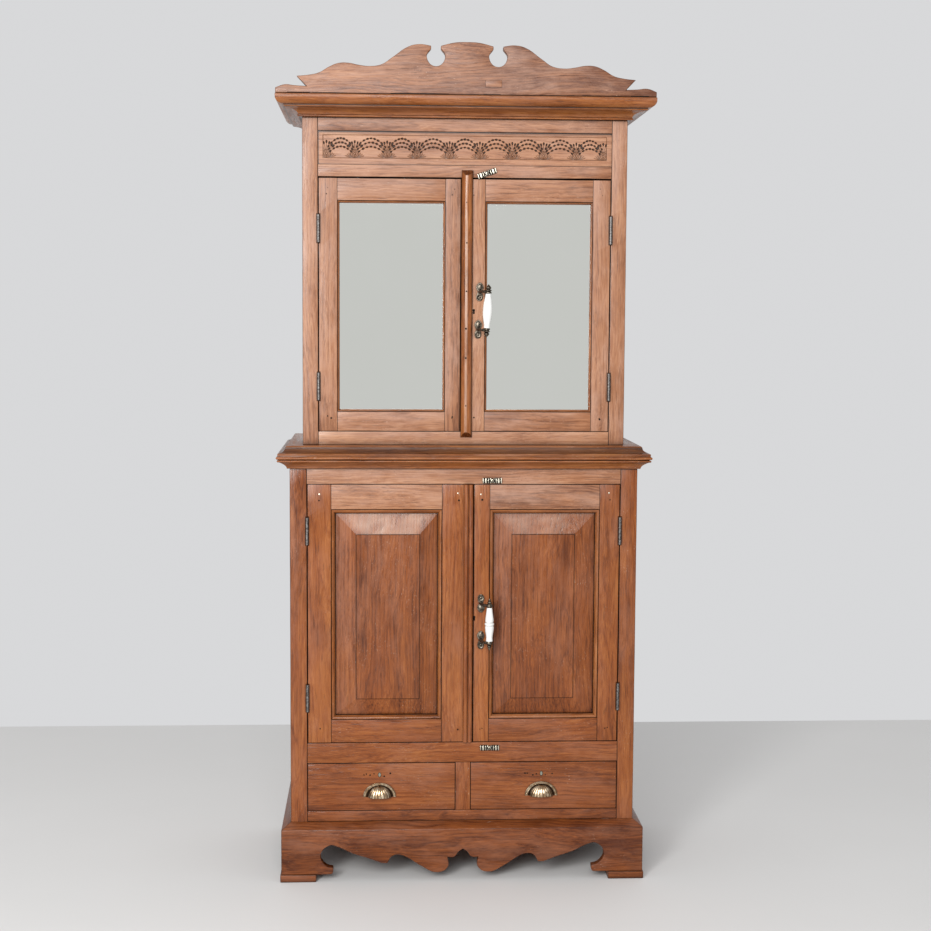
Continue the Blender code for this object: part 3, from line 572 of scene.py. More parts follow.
def tube(name, path, radii, finish, body, steps=14):
    """A round bar of changing thickness along a path, with closed ends."""
    outlines = []
    angles = [2 * math.pi * step / steps for step in range(steps)]
    for i, (point, radius) in enumerate(zip(path, radii)):
        ahead = (path[min(i + 1, len(path) - 1)] - path[max(i - 1, 0)]).normalized()
        side = ahead.cross(Vector((0, 0, 1))).normalized()
        up = side.cross(ahead)
        outlines.append([point + radius * (side * math.cos(a) + up * math.sin(a)) for a in angles])
    bm = bmesh.new()
    loft(bm, outlines)
    return piece(name, bm, finish, body, (), 45)


def smooth_path(points, count):
    """Points along a smooth line through a few given ones."""
    points = [Vector(point) for point in points]
    ends = [2 * points[0] - points[1], *points, 2 * points[-1] - points[-2]]
    found = []
    for i in range(count + 1):
        place = (len(points) - 1) * i / count
        k = min(int(place), len(points) - 2)
        t = place - k
        a, b, c, d = ends[k : k + 4]
        found.append(
            0.5 * (2 * b + (c - a) * t + (2 * a - 5 * b + 4 * c - d) * t**2
                   + (3 * b - a - 3 * c + d) * t**3)
        )
    return found


def plate(name, outline, thick, at, finish, body, edge=0.0, turn=UPRIGHT, stands_for=()):
    """A flat shape facing -Y, with its back at the given place."""
    bm = extruded([(u, 0, v) for u, v in outline], (0, -thick, 0))
    bmesh.ops.recalc_face_normals(bm, faces=bm.faces)
    if edge:
        rim = [e for e in bm.edges if all(abs(v.co.y + thick) < 1e-7 for v in e.verts)]
        bmesh.ops.bevel(bm, geom=rim, offset=edge, segments=3, profile=0.6, affect="EDGES")
    bm.transform(Matrix.Translation(at) @ turn)
    return piece(name, bm, finish, body, stands_for, 40)


def screw(name, at, radius, finish, body, slot_angle=20.0):
    """A slotted screw head: two halves of a low dome on a dark floor, which shows in the slot as
    painted shade.
    """
    seat = [(0, 0.0002), (radius, 0.0002), (radius, 0)]
    turned(f"{name}_seat", seat, at, "hole_dark", body, steps=20)
    slot = radius * 0.16
    bound = math.degrees(math.asin(slot / radius))
    rim = arc((0, 0), radius, bound, 180 - bound, 12)
    turn = Matrix.Rotation(math.radians(slot_angle), 4, "Y") @ FACING
    for half in (-1, 1):
        bm = bmesh.new()
        bottom = [(u, v * half, 0) for u, v in rim]
        shoulder = [(u * 0.92, v * half, radius * 0.20) for u, v in rim]
        crown = [(u * 0.5, half * max(abs(v) * 0.5, slot), radius * 0.36) for u, v in rim]
        loft(bm, [bottom, shoulder, crown])
        bm.transform(Matrix.Translation(at) @ turn)
        piece(f"{name}_half{half + 1}", bm, finish, body, (), 40)


def dot(name, x, z, front, radius, finish, body):
    """A nail head, a peg's end or a filled hole, a hair proud of the wood round it."""
    proud = 0.0003
    profile = [(0, proud), (radius * 0.7, proud), (radius, proud * 0.4), (radius, -0.002)]
    turned(name, profile, (x, front, z), finish, body, steps=14)


def carve(made, cutters, grain, tone):
    """Takes closed shapes away from a board, and grains it again over its new corners."""
    for bm in cutters:
        bmesh.ops.recalc_face_normals(bm, faces=bm.faces)
        cutter = linked("cutter", meshed("cutter", bm))
        modifier = made.modifiers.new("carve", "BOOLEAN")
        modifier.operation = "DIFFERENCE"
        modifier.object = cutter
        bpy.context.view_layer.update()
        graph = bpy.context.evaluated_depsgraph_get()
        made.data = bpy.data.meshes.new_from_object(made.evaluated_get(graph))
        made.modifiers.clear()
        bpy.data.objects.remove(cutter)
    made.data.set_sharp_from_angle(angle=math.radians(38))
    return give_grain(made, grain, tone)


def prism(outline, near, far):
    """A closed shape with an (x, z) outline between two depths."""
    return extruded([(x, near, z) for x, z in outline], (0, far - near, 0))


def boards(node, axis, count, grain, finish):
    """Boards side by side that fill a node's box."""
    spans = list(zip(*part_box(node)))
    chance = random.Random(node)
    low, high = spans[axis]
    cuts = [(i + chance.uniform(-0.15, 0.15)) / count for i in range(1, count)]
    edges = [low + (high - low) * share for share in (0.0, *cuts, 1.0)]
    for i, (near, far) in enumerate(zip(edges, edges[1:])):
        part = list(spans)
        part[axis] = (near + GAP / 2, far - GAP / 2)
        plank(f"{node}_{i + 1}", *part, grain, finish, stands_for=(node,))


# ------------------------------------------------------------------ plinth and feet


def plinth():
    copied("apron_front", "plinth_front", "X", "lower_wood", 0.0012, -0.24)
    for hand in HANDS:
        copied(f"apron_{hand}", f"plinth_{hand}", "Y", "lower_wood", 0.0012, -0.24)
        node_plank(f"foot_front_{hand}", "X", "lower_wood", -0.15, 0.003)
    node_plank("foot_rear_bar", "X", "inside_wood", -0.1, 0.003)


# ------------------------------------------------------------------ carcasses


def hinge_seats(stage):
    """The shallow cuts that clear a stage's knuckles, in its posts and door stiles."""
    half, depth, ease = 0.0052, 0.0024, 0.004
    cuts = {"left": [], "right": []}
    for hand in cuts:
        for level in ("low", "high"):
            low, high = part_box(f"{stage}_hinge_{hand}_{level}")
            middle = (low.x + high.x) / 2
            face = low.y + KNUCKLE_RADIUS + KNUCKLE_PROUD
            outlines = []
            for y, grow in ((face - 0.001, ease), (face + depth, 0.0)):
                corners = rectangle((middle - half, middle + half), (low.z - grow, high.z + grow))
                outlines.append([(x, y, z) for x, z in corners])
            cuts[hand].append(bmesh.new())
            loft(cuts[hand][-1], outlines)
    return cuts


def waist_section():
    """Cove, fillets and a nosing, then a hollow that rises to the ledge; the hollow and the lines
    between the members are blackened as painted shade.
    """
    cove = [(6.5 + 17.5 * t**2, 0.5 + 17.0 * t, 0.0) for t in (i / 8 for i in range(9))]
    cove[0] = (*cove[0][:2], 0.6)
    return [
        (4.0, 0.0, 0.8), *cove,
        (24.5, 17.8, 0.0), (25.0, 18.1, 0.9), (28.5, 18.5, 0.9),
        *arc((28.3, 21.4), 2.7, -80, 80, 6, (0.0,)),
        (26.2, 24.6, 0.8), (26.2, 25.2, 0.8),
        *arc((30.0, 29.3), 3.5, -80, 70, 8, (0.0,)),
        (30.0, 33.0, 0.85), (29.4, 34.2, 0.3), (29.8, 39.0, 0.3),
        (29.2, 40.2, 0.0), (27.2, 40.8, 0.0), (26.6, 41.0, 0.5),
        (23.0, 41.8, 0.68), (19.0, 43.2, 0.72), (15.5, 45.5, 0.74),
        (12.8, 48.5, 0.72), (11.0, 52.0, 0.76), (10.0, 55.6, 0.90),
        (9.4, 57.2, 0.2), (8.0, 59.0, 0.0), (6.0, 59.5, 0.0),
    ]


def cornice_section():
    """A bead and a cove under a projecting fillet, then a bold ovolo, with painted shade in the
    dark lines between them.
    """
    angles = [math.radians(9.5 * i) for i in range(9)]
    cove = [(9.8 + 40.0 * (1 - math.cos(a)), 7.2 + 14.2 * math.sin(a), 0.0) for a in angles]
    return [
        (6.0, 0.1, 0.9), *arc((8.5, 3.1), 2.8, -80, 70, 8, (0.0,)), (9.2, 6.1, 0.8), *cove,
        (43.2, 21.7, 0.9), (43.4, 22.4, 0.5), (44.0, 22.6, 0.0),
        (44.6, 24.3, 0.0), (45.0, 24.6, 0.9), (45.2, 27.2, 0.9),
        *arc((47.5, 45.0), 17.5, -84, 4, 12, (0.0,)),
        (65.0, 50.0, 0.1), (64.0, 52.0, 0.8), (62.0, 52.7, 0.8),
    ]


def carcass(stage, tone):
    """What both stages have: posts with seats for the hinges, sides and a back."""
    seats = hinge_seats(stage)
    for hand in HANDS:
        post = node_plank(f"{stage}_post_{hand}", "Z", f"{stage}_wood", tone, 0.0022)
        carve(post, seats[hand], "Z", tone)
    for hand in HANDS:
        boards(f"{stage}_side_{hand}", 1, 3, "Z", f"{stage}_wood")
    boards(f"{stage}_back", 0, 6, "Z", "inside_wood")


def slab(node, stem, section, half, front, thick):
    """A moulded slab: its moulding, the boards inside that, and a rail at the back."""
    moulding(stem, node, section, half, front)
    low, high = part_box(node)
    x = (SLAB_INSET + GAP - half, half - SLAB_INSET - GAP)
    front += SLAB_INSET + GAP
    middle, under = (front + BACK) / 2, high.z - thick
    parts = (
        ("top_front", (front, middle - GAP / 2), (under, high.z)),
        ("top_rear", (middle + GAP / 2, BACK), (under, high.z)),
        ("back_rail", (BACK - 0.020, BACK), (low.z, under - GAP)),
    )
    for name, y, z in parts:
        plank(f"{node}_{name}", x, y, z, "X", "inside_wood", "carcass", (node,), 0.05, 0.0008)


def lower_carcass():
    carcass("lower", 0.0)
    copied("base_rail", "base_board", "X", "lower_wood", 0.0008, -0.12)
    boards("cupboard_floor", 1, 2, "X", "inside_wood")
    # The lower top rail is in the paler upper wood: a painted sheen.
    node_plank("lower_top_rail", "X", "upper_wood")
    node_plank("middle_rail", "X", "lower_wood")
    node_plank("drawer_divider", "Z", "lower_wood")
    slab("waist_top", "waist_moulding", waist_section(), LOWER_HALF, FRONT, 0.020)


def upper_carcass():
    carcass("upper", -0.02)
    # The upper bottom rail's paler tone is partly painted light over the shade that the doors and
    # the astragal cast on it.
    rails = (("upper_bottom_rail", 0.18), ("frieze_lower_rail", 0.05), ("frieze_top_rail", -0.08))
    for node, tone in rails:
        node_plank(node, "X", "upper_wood", tone)
    boards("upper_shelf", 1, 2, "X", "inside_wood")
    slab("cornice", "cornice_moulding", cornice_section(), UPPER_HALF, UPPER_FRONT, 0.016)
    crest = copied("crest_board", "crest", "X", "upper_wood", 0.0016, CREST_TONE)
    # The crest is painted darker towards the right, as painted shade.
    for value, vert in zip(crest.data.attributes["tone"].data, crest.data.vertices):
        value.value -= CREST_PAINTED_SHADE * vert.co.x
    crest_joint()
    crest_patch()


def crest_inlay(name, x, up, proud, finish="hole_dark", tone=0.0, edge=0.0):
    """A strip let into the crest's front and a hair proud of it, between two heights up it."""
    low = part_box("crest")[0]
    z = [low.z + height for height in up]
    plank(name, x, (low.y - proud, low.y + 0.001), z, "X", finish, tone=tone, edge=edge)


CREST_CRACKS = (  # start, length and height up the crest
    (-0.205, 0.085, 0.019), (-0.066, 0.045, 0.016), (0.118, 0.060, 0.012), (0.240, 0.090, 0.009),
)


def crest_patch():
    """A small repair let into the crest's front, right of its middle, and cracks beside it."""
    left, right, foot, top = 0.047, 0.088, 0.0190, 0.0365
    rim, crack = 0.0005, 0.0007
    # The dark rim round the patch and the cracks are dark strips: painted shade in the gap and in
    # the cracks.
    crest_inlay("crest_patch_gap", (left - rim, right + rim), (foot - rim, top + rim), 0.0003)
    spans = ((left, right), (foot, top))
    crest_inlay("crest_patch", *spans, 0.0005, "upper_wood", CREST_TONE, 0.0002)
    for k, (start, long, up) in enumerate(CREST_CRACKS):
        crest_inlay(f"crest_crack_{k + 1}", (start, start + long), (up, up + crack), 0.0002)


def crest_joint():
    """A painted shadow, with old dust, in the gap under the crest: a broken dark line."""
    low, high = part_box("crest")
    chance = random.Random("crest_joint")
    x, k = low.x + 0.030, 0
    while x < high.x - 0.030:
        long = chance.uniform(0.02, 0.11)
        across = (x, min(x + long, high.x - 0.02))
        tall = (-0.0002, chance.uniform(0.0012, 0.0026))
        k += 1
        crest_inlay(f"crest_joint_{k}", across, tall, 0.0004, edge=0.001)
        x += long + chance.uniform(0.0, 0.03)


# ------------------------------------------------------------------ carved frieze


class Carving:
    """A flat field, in millimetres, that is cut into by pits and lines."""

    def __init__(self, wide, high, step):
        self.across = np.linspace(0, wide, round(wide / step) + 1)
        self.up = np.linspace(0, high, round(high / step) + 1)
        self.depth = np.zeros((len(self.up), len(self.across)))

    def window(self, x, z, reach):
        """The part of the field round a point: its slices and its offsets from the point."""
        i = np.searchsorted(self.across, (x - reach, x + reach))
        j = np.searchsorted(self.up, (z - reach, z + reach))
        part = (slice(*j), slice(*i))
        across, up = np.meshgrid(self.across[part[1]] - x, self.up[part[0]] - z)
        return part, across, up

    def press(self, part, cut):
        self.depth[part] = np.maximum(self.depth[part], cut)

    def pit(self, x, z, angle, long, wide, deep):
        """A drop-shaped hollow, blunt at the end that the angle points to."""
        part, across, up = self.window(x, z, long)
        along = across * math.cos(angle) + up * math.sin(angle)
        over = up * math.cos(angle) - across * math.sin(angle)
        taper = wide / 2 * np.clip(1 + 0.5 * along / long, 0.3, 2)
        away = (along / (long / 2)) ** 2 + (over / taper) ** 2
        self.press(part, deep * np.sqrt(np.clip(1 - away, 0, 1)))

    def line(self, points, wide, deep):
        """A scratched line through points."""
        for (x0, z0), (x1, z1) in zip(points, points[1:]):
            reach = math.dist((x0, z0), (x1, z1)) / 2 + 3 * wide
            x, z = (x0 + x1) / 2, (z0 + z1) / 2
            part, across, up = self.window(x, z, reach)
            run = np.array((x1 - x0, z1 - z0)) / 2
            share = np.clip((across * run[0] + up * run[1]) / (run @ run), -1, 1)
            away = np.hypot(across - share * run[0], up - share * run[1])
            self.press(part, deep * np.exp(-((away / wide) ** 2)))


ARCH_ROWS = (  # height of the crown and of the feet, share of the arch's width, pits
    (50.0, 27.0, 0.90, 9), (39.5, 21.5, 0.84, 8), (29.0, 15.5, 0.76, 7),
)


def frieze():
    """Nine arches of drop-shaped pits between ten vase-shaped trunks, in a scratched frame."""
    low, high = (1000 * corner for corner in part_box("frieze_panel"))
    wide, tall = high.x - low.x, high.z - low.z
    chance = random.Random("frieze")
    arches, step = 9, 0.8
    border, base, top = 13.0, 16.5, tall - 10.0
    field = Carving(wide, tall, step)
    edge = rectangle((border, wide - border), (base, top))
    field.line([*edge, edge[0]], 0.75, 1.1)
    pitch = (wide - 2 * border) / arches
    trunks = [border + pitch * i for i in range(arches + 1)]
    inner = [x + chance.uniform(-3.5, 3.5) for x in trunks[1:-1]]
    trunks = [trunks[0] + 9.0, *inner, trunks[-1] - 9.0]
    for near, far in zip(trunks, trunks[1:]):
        for crown, foot, share, count in ARCH_ROWS:
            half, middle = share * (far - near) / 2, (near + far) / 2

            def spot(t):
                rise = (crown - foot) * math.cos(math.pi / 2 * t) ** 0.85
                return (middle + half * t, base + foot + rise)

            field.line([spot(i / 20 - 1) for i in range(1, 40)], 0.7, 0.9)
            for i in range(count):
                t = 0.97 * (2 * i / (count - 1) - 1)
                (x0, z0), (x1, z1) = spot(t - 0.02), spot(t + 0.02)
                heading = math.atan2(z1 - z0, x1 - x0)
                size = chance.uniform(0.9, 1.1)
                field.pit(*spot(t), heading, 7.2 * size, 4.8 * size, 2.8)
    for x in trunks:
        trunk(field, x, base)
    inside = (field.across > border - step) & (field.across < wide - border + step)
    field.depth[:, ~inside] = 0
    carved_panel(field, low / 1000, high / 1000)


def trunk(field, x, base):
    """A vase of nested loops, a fan of flutes out of its neck, and leaves at its foot."""
    for half, rise, deep in ((10.5, 9.8, 1.5), (6.6, 6.8, 1.3), (2.6, 3.6, 1.5)):
        loop = [
            (x + half * math.cos(a) * (1 - 0.18 * math.sin(a)), base + 11.0 + rise * math.sin(a))
            for a in (math.radians(15 * i) for i in range(25))
        ]
        field.line(loop, 0.85, deep)
    for k in (-3, -2, -1, 0, 1, 2, 3):
        lean = 0.27 * k
        long = 19.0 - 1.3 * abs(k)
        foot = (x + 2.2 * k, base + 21.5 - 0.8 * abs(k))
        tip = (foot[0] + long * math.sin(lean), foot[1] + long * math.cos(lean))
        field.line([foot, tip], 0.75, 1.0)
        field.pit(*tip, math.pi / 2 - lean, 8.6, 4.4, 2.8)
    for side in (-1, 1):
        for reach, rise in ((19.0, 9.5), (23.0, 5.5), (15.0, 12.0)):
            leaf = [
                (x + side * (8.0 + (reach - 8.0) * t), base + 1.5 + (rise - 1.5) * t**1.6)
                for t in (i / 5 for i in range(6))
            ]
            field.line(leaf, 0.8, 1.1)


def carved_panel(field, low, high):
    """The frieze panel with the carving in its front face."""
    columns, rows = len(field.across), len(field.up)
    across, up = np.meshgrid(field.across / 1000 + low.x, field.up / 1000 + low.z)
    front = np.stack([across, low.y + field.depth / 1000, up], axis=2).reshape(-1, 3)
    index = np.arange(rows * columns).reshape(rows, columns)
    cells = (index[:-1, :-1], index[:-1, 1:], index[1:, 1:], index[1:, :-1])
    faces = np.stack(cells, axis=2).reshape(-1, 4)
    rim = np.concatenate([index[0], index[1:, -1], index[-1, -2::-1], index[-2:0:-1, 0]])
    behind = front[rim].copy()
    behind[:, 1] = high.y
    back = np.arange(len(rim)) + len(front)
    walls = np.stack([rim, back, np.roll(back, -1), np.roll(rim, -1)], axis=1)
    mesh = bpy.data.meshes.new("frieze_carving")
    points = np.concatenate([front, behind]).tolist()
    mesh.from_pydata(points, [], [*faces.tolist(), *walls.tolist(), back.tolist()])
    made = settle("frieze_carving", mesh, "upper_wood", "carcass", ("frieze_panel",), 60)
    give_grain(made, "X", 0.14)
    # Painted shade: the carving is blackened by its depth, and painted shadow darkens the panel's
    # top under the rail, its foot and its left edge.
    black = field.depth / 1.5
    from_top = field.up[-1] - field.up
    for band, more in ((from_top < 2.5, 0.9), (from_top < 6.5, 0.3), (field.up < 1.2, 0.5)):
        black[band] += more
    black[:, field.across < 2.2] += 0.8
    soot = np.concatenate([black.ravel(), np.zeros(len(behind))])
    attribute = mesh.attributes.new("soot", "FLOAT", "POINT")
    attribute.data.foreach_set("value", np.clip(soot, 0, 1).astype(np.float32))


# ------------------------------------------------------------------ doors


def sticking_profile(ease, lip):
    """The moulding round an opening, as (inward, depth): a groove, an ovolo and a fillet."""
    return [
        (0.0, 0.0016),
        (0.0006, 0.0030),
        (0.0014, 0.0012),
        *[(0.0016 + (ease - 0.0030) * math.sin(a), 0.0006 + 0.0056 * (1 - math.cos(a)))
          for a in (math.radians(12 * i) for i in range(8))],
        (ease - 0.0008, 0.0068),
        (ease, 0.0074),
        (ease, lip),
        (0.0, lip),
    ]


def sticking(stem, opening, front, profile, body, node):
    """Four mitred lengths of moulding round an opening."""
    ways = rectangle((1, -1), (1, -1))
    corners = [(*corner, *way) for corner, way in zip(rectangle(*opening), ways)]
    for i, name in enumerate(("bottom", "right", "top", "left")):
        ends = []
        for x, z, way_x, way_z in (corners[i], corners[(i + 1) % 4]):
            ends.append([(x + way_x * u, front + depth, z + way_z * u) for u, depth in profile])
        bar(f"{stem}_sticking_{name}", *ends, "XZ"[i % 2], MOULDED, body, (node,), edge=0.0,
            smooth=32, worn=0.0002)


def leaf(stage, hand, front, opening, lip, ease, tones, seats, keyhole):
    """One door's frame: two full-height stiles, two rails between them, and their moulding.

    The tones are those of its stiles, its bottom rail and its top rail.
    """
    node, body, finish = f"{stage}_door_frame_{hand}", f"{stage}_{hand}_door", f"{stage}_wood"
    low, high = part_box(node)
    (x0, x1), (z0, z1) = opening
    back = front + DOOR_THICK
    notch = max(REBATE - ease, 0.0)

    def member(name, edge, shoulder, ends, grain, finish, tone, rounding, cut=()):
        way = 1 if shoulder > edge else -1
        stop = shoulder - way * GAP / 3
        rebate = stop - way * notch
        plan = [(edge, front), (stop, front), (stop, front + lip), (rebate, front + lip),
                (rebate, back), (edge, back)]
        if not notch:
            plan = [(edge, front), (stop, front), (stop, back), (edge, back)]
        if grain == "Z":
            outlines = [[(across, y, end) for across, y in plan] for end in ends]
        else:
            outlines = [[(end, y, across) for across, y in plan] for end in ends]
        name = f"{stage}_{hand}_{name}"
        made = bar(name, *outlines, grain, finish, body, (node,), tone, rounding)
        if cut:
            carve(made, cut, grain, tone)

    upright, level = (low.z, high.z), (x0 + GAP / 2, x1 - GAP / 2)
    cuts, tone = (seats, ()), tones[0]
    # The right leaf's meeting stile is painted paler, as painted light over the shade cast on it.
    if hand == "right":
        cuts, tone = (cut_keyhole(stage, front, keyhole), seats), tones[0] + MEETING_STILE_PAINTED_LIGHT
    member("left_stile", low.x, x0, upright, "Z", finish, tone, 0.0014, cuts[0])
    member("right_stile", high.x, x1, upright, "Z", finish, tones[0], 0.0014, cuts[1])
    member("bottom_rail", low.z, z0, level, "X", finish, tones[1], 0.0011)
    member("top_rail", high.z, z1, level, "X", "upper_wood", tones[2], 0.0011)
    sticking(f"{stage}_{hand}", opening, front, sticking_profile(ease, lip), body, node)
    pegs(stage, hand, front, (low, high), (x0, x1))


def cut_keyhole(stage, front, outline):
    """A cutter for a keyhole, with a dark plate of painted shade at the bottom of the hole."""
    middle = [sum(values) / len(outline) for values in zip(*outline)]
    smaller = [tuple(m + 0.94 * (c - m) for c, m in zip(corner, middle)) for corner in outline]
    dark = prism(smaller, front + 0.0030, front + 0.0088)
    piece(f"{stage}_keyhole_dark", dark, "hole_dark", f"{stage}_right_door")
    return [prism(outline, front - 0.001, front + 0.009)]


def pegs(stage, hand, front, box, opening_x):
    """Nails and the ends of pegs where a leaf's rails are tenoned into its stiles."""
    (low, high), body = box, f"{stage}_{hand}_door"
    chance = random.Random(stage + hand)

    def spot(x, z, spread_x, spread_z):
        return (x + chance.uniform(-spread_x, spread_x), z + chance.uniform(-spread_z, spread_z))

    stiles = ((low.x + opening_x[0]) / 2, (high.x + opening_x[1]) / 2)
    for side, x in zip(HANDS, stiles):
        stem = f"{stage}_{hand}_{side}"
        drops = (("nail", 0.024, 0.0024, "pale_brass"), ("peg", 0.040, 0.0028, "hole_dark"))
        for kind, drop, radius, finish in drops:
            at = spot(x, high.z - drop, 0.004, 0.002)
            radius *= chance.uniform(0.6, 1.0)
            if stage == "upper":
                finish, radius = "hole_dark", 0.6 * radius
            dot(f"{stem}_{kind}", *at, front, radius, finish, body)
        for k in (0, 1):
            at = spot(x, low.z + 0.034, 0.008, 0.005)
            radius = chance.uniform(0.0012, 0.0024)
            dot(f"{stem}_foot_peg_{k}", *at, front, radius, "hole_dark", body)


FIELD_MARGINS = {  # from a panel's left, right, low and high edges to its raised field
    "left": (0.0545, -0.0475, 0.0440, -0.0555),
    "right": (0.0475, -0.0545, 0.0440, -0.0555),
}
MEETING_STILE_PAINTED_LIGHT = 0.15  # in tone: painted light that lifts the shade the astragal and the bead cast on the right leaf's meeting stile
# Painted highlight: how far each lower panel's top bevel is paled, more on the left leaf, as if lit
# from above and the left.
TOP_BEVEL_HIGHLIGHT = {"left": (0.15, 0.50), "right": (0.05, 0.30)}
# The right panel's darker tone is partly painted shade towards the right.
PANEL_TONES = {"left": -0.04, "right": -0.14}


def raised_panel(hand, opening, front, ease):
    """A fielded panel: a thin edge in its rebate, sloping margins and a crisp raised field."""
    node = f"lower_door_panel_{hand}"
    lap = REBATE - ease - GAP
    inset = ease + GAP
    margins = FIELD_MARGINS[hand]
    (x0, x1), (z0, z1) = opening
    outer = (x0 + inset, x1 - inset, z0 + inset, z1 - inset)
    field = tuple(edge + margin for edge, margin in zip(outer, margins))

    def grown(box, grow):
        return (box[0] - grow, box[1] + grow, box[2] - grow, box[3] + grow)

    def between(share):
        return tuple(a + (b - a) * share for a, b in zip(outer, field))

    steps = (  # depth, edges and painted shade, from the back to the field: black in the creases at the panel's edge and round the field's step
        (0.0185, grown(outer, lap + inset), 0.0), (0.0138, grown(outer, lap + inset), 0.0),
        (0.0138, outer, 1.0), (0.0135, between(0.02), 0.9), (0.0132, between(0.05), 0.0),
        (0.0105, between(0.30), 0.0), (0.0072, between(0.60), 0.0),
        (0.0034, between(0.95), 0.0), (0.0031, between(0.98), 0.35),
        (0.0029, field, 0.95), (0.0012, grown(field, -0.0009), 0.8),
        (0.0006, grown(field, -0.0016), 0.0), (0.0005, grown(field, -0.0026), 0.0),
    )
    bm = bmesh.new()
    for layer in ("soot", "wear"):
        bm.verts.layers.float.new(layer)
    soot, wear = bm.verts.layers.float["soot"], bm.verts.layers.float["wear"]
    chance = random.Random(node)
    outlines = []
    columns, rows = 8, 14
    for depth, (left, right, low, high), _ in steps:
        across = [left + (right - left) * i / columns for i in range(columns)]
        up = [low + (high - low) * i / rows for i in range(rows)]
        loop = [(x, low) for x in across] + [(right, z) for z in up]
        loop += [(left + right - x, high) for x in across] + [(left, low + high - z) for z in up]
        outlines.append([(x, front + depth, z) for x, z in loop])
    rings = loft(bm, outlines)
    for ring, (_, _, black) in zip(rings, steps):
        for vert in ring:
            vert[soot] = black * chance.uniform(0.7, 1.0)
    # The top bevel is paled as a painted highlight.
    for ring in rings[4:9]:
        for vert in ring[columns + rows + 1 : 2 * columns + rows]:
            vert[wear] = chance.uniform(*TOP_BEVEL_HIGHLIGHT[hand])
    made = piece(f"{node}_board", bm, "lower_wood", f"lower_{hand}_door", (node,), 6)
    give_grain(made, "Z", PANEL_TONES[hand])


def opening_of(node, lap):
    """Where a door's moulding starts, from the panel or mirror that it holds."""
    low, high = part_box(node)
    return ((low.x + lap, high.x - lap), (low.z + lap, high.z - lap))


def lower_doors():
    seats = hinge_seats("lower")
    # The right leaf's darker tones are partly painted shade towards the right.
    tones = {"left": (0.10, 0.06, 0.02), "right": (0.06, 0.0, -0.10)}
    lip, ease = 0.0122, 0.0100
    x, z = 0.0282, 0.696
    foot = z - 0.0066
    keyhole = arc((x, z + 0.0034), 0.0028, -50, 230, 12)
    keyhole += [(x - 0.0018, foot), (x + 0.0018, foot)]
    for hand in HANDS:
        opening = opening_of(f"lower_door_panel_{hand}", -PANEL_LAP)
        leaf("lower", hand, FRONT, opening, lip, ease, tones[hand], seats[hand], keyhole)
        raised_panel(hand, opening, FRONT, ease)
    meeting_bead()


def meeting_bead():
    """A double-reeded strip planted over the meeting stile."""
    low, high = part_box("meeting_bead")
    left, right = low.x, high.x
    reed = (right - left) / 4
    plan = [(left, 0.0), (left, 0.0030), (left + 0.0006, 0.0034)]
    for centre in (left + reed, left + 3 * reed):
        plan += arc((centre, 0.0030), reed * 0.93, 165, 15, 10)
    plan += [(right - 0.0006, 0.0034), (right, 0.0030), (right, 0.0)]
    ends = [[(x, FRONT - GAP - out, z) for x, out in plan] for z in (low.z, high.z)]
    bar("meeting_bead_strip", *ends, "Z", "lower_wood", "lower_left_door", ("meeting_bead",), -0.02,
        0.0, 50, 0.0003)


def mirror(hand, front):
    """A silvered pane with a ground edge, and the two boards behind it."""
    node, body = f"mirror_{hand}", f"upper_{hand}_door"
    low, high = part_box(node)
    outlines = []
    for depth, inset in ((0.0145, 0.0), (0.0110, 0.0), (0.0105, 0.0008)):
        corners = rectangle((low.x + inset, high.x - inset), (low.z + inset, high.z - inset))
        outlines.append([(x, front + depth, z) for x, z in corners])
    bm = bmesh.new()
    loft(bm, outlines)
    piece(f"{node}_pane", bm, "mirror_glass", body, (node,), 20)
    depth = (front + 0.0148, front + 0.0188)
    middle = (low.x + high.x) / 2
    for side, span in (("near", (low.x, middle - GAP / 2)), ("far", (middle + GAP / 2, high.x))):
        plank(f"{node}_backing_{side}", span, depth, (low.z, high.z), "Z", "inside_wood", body)


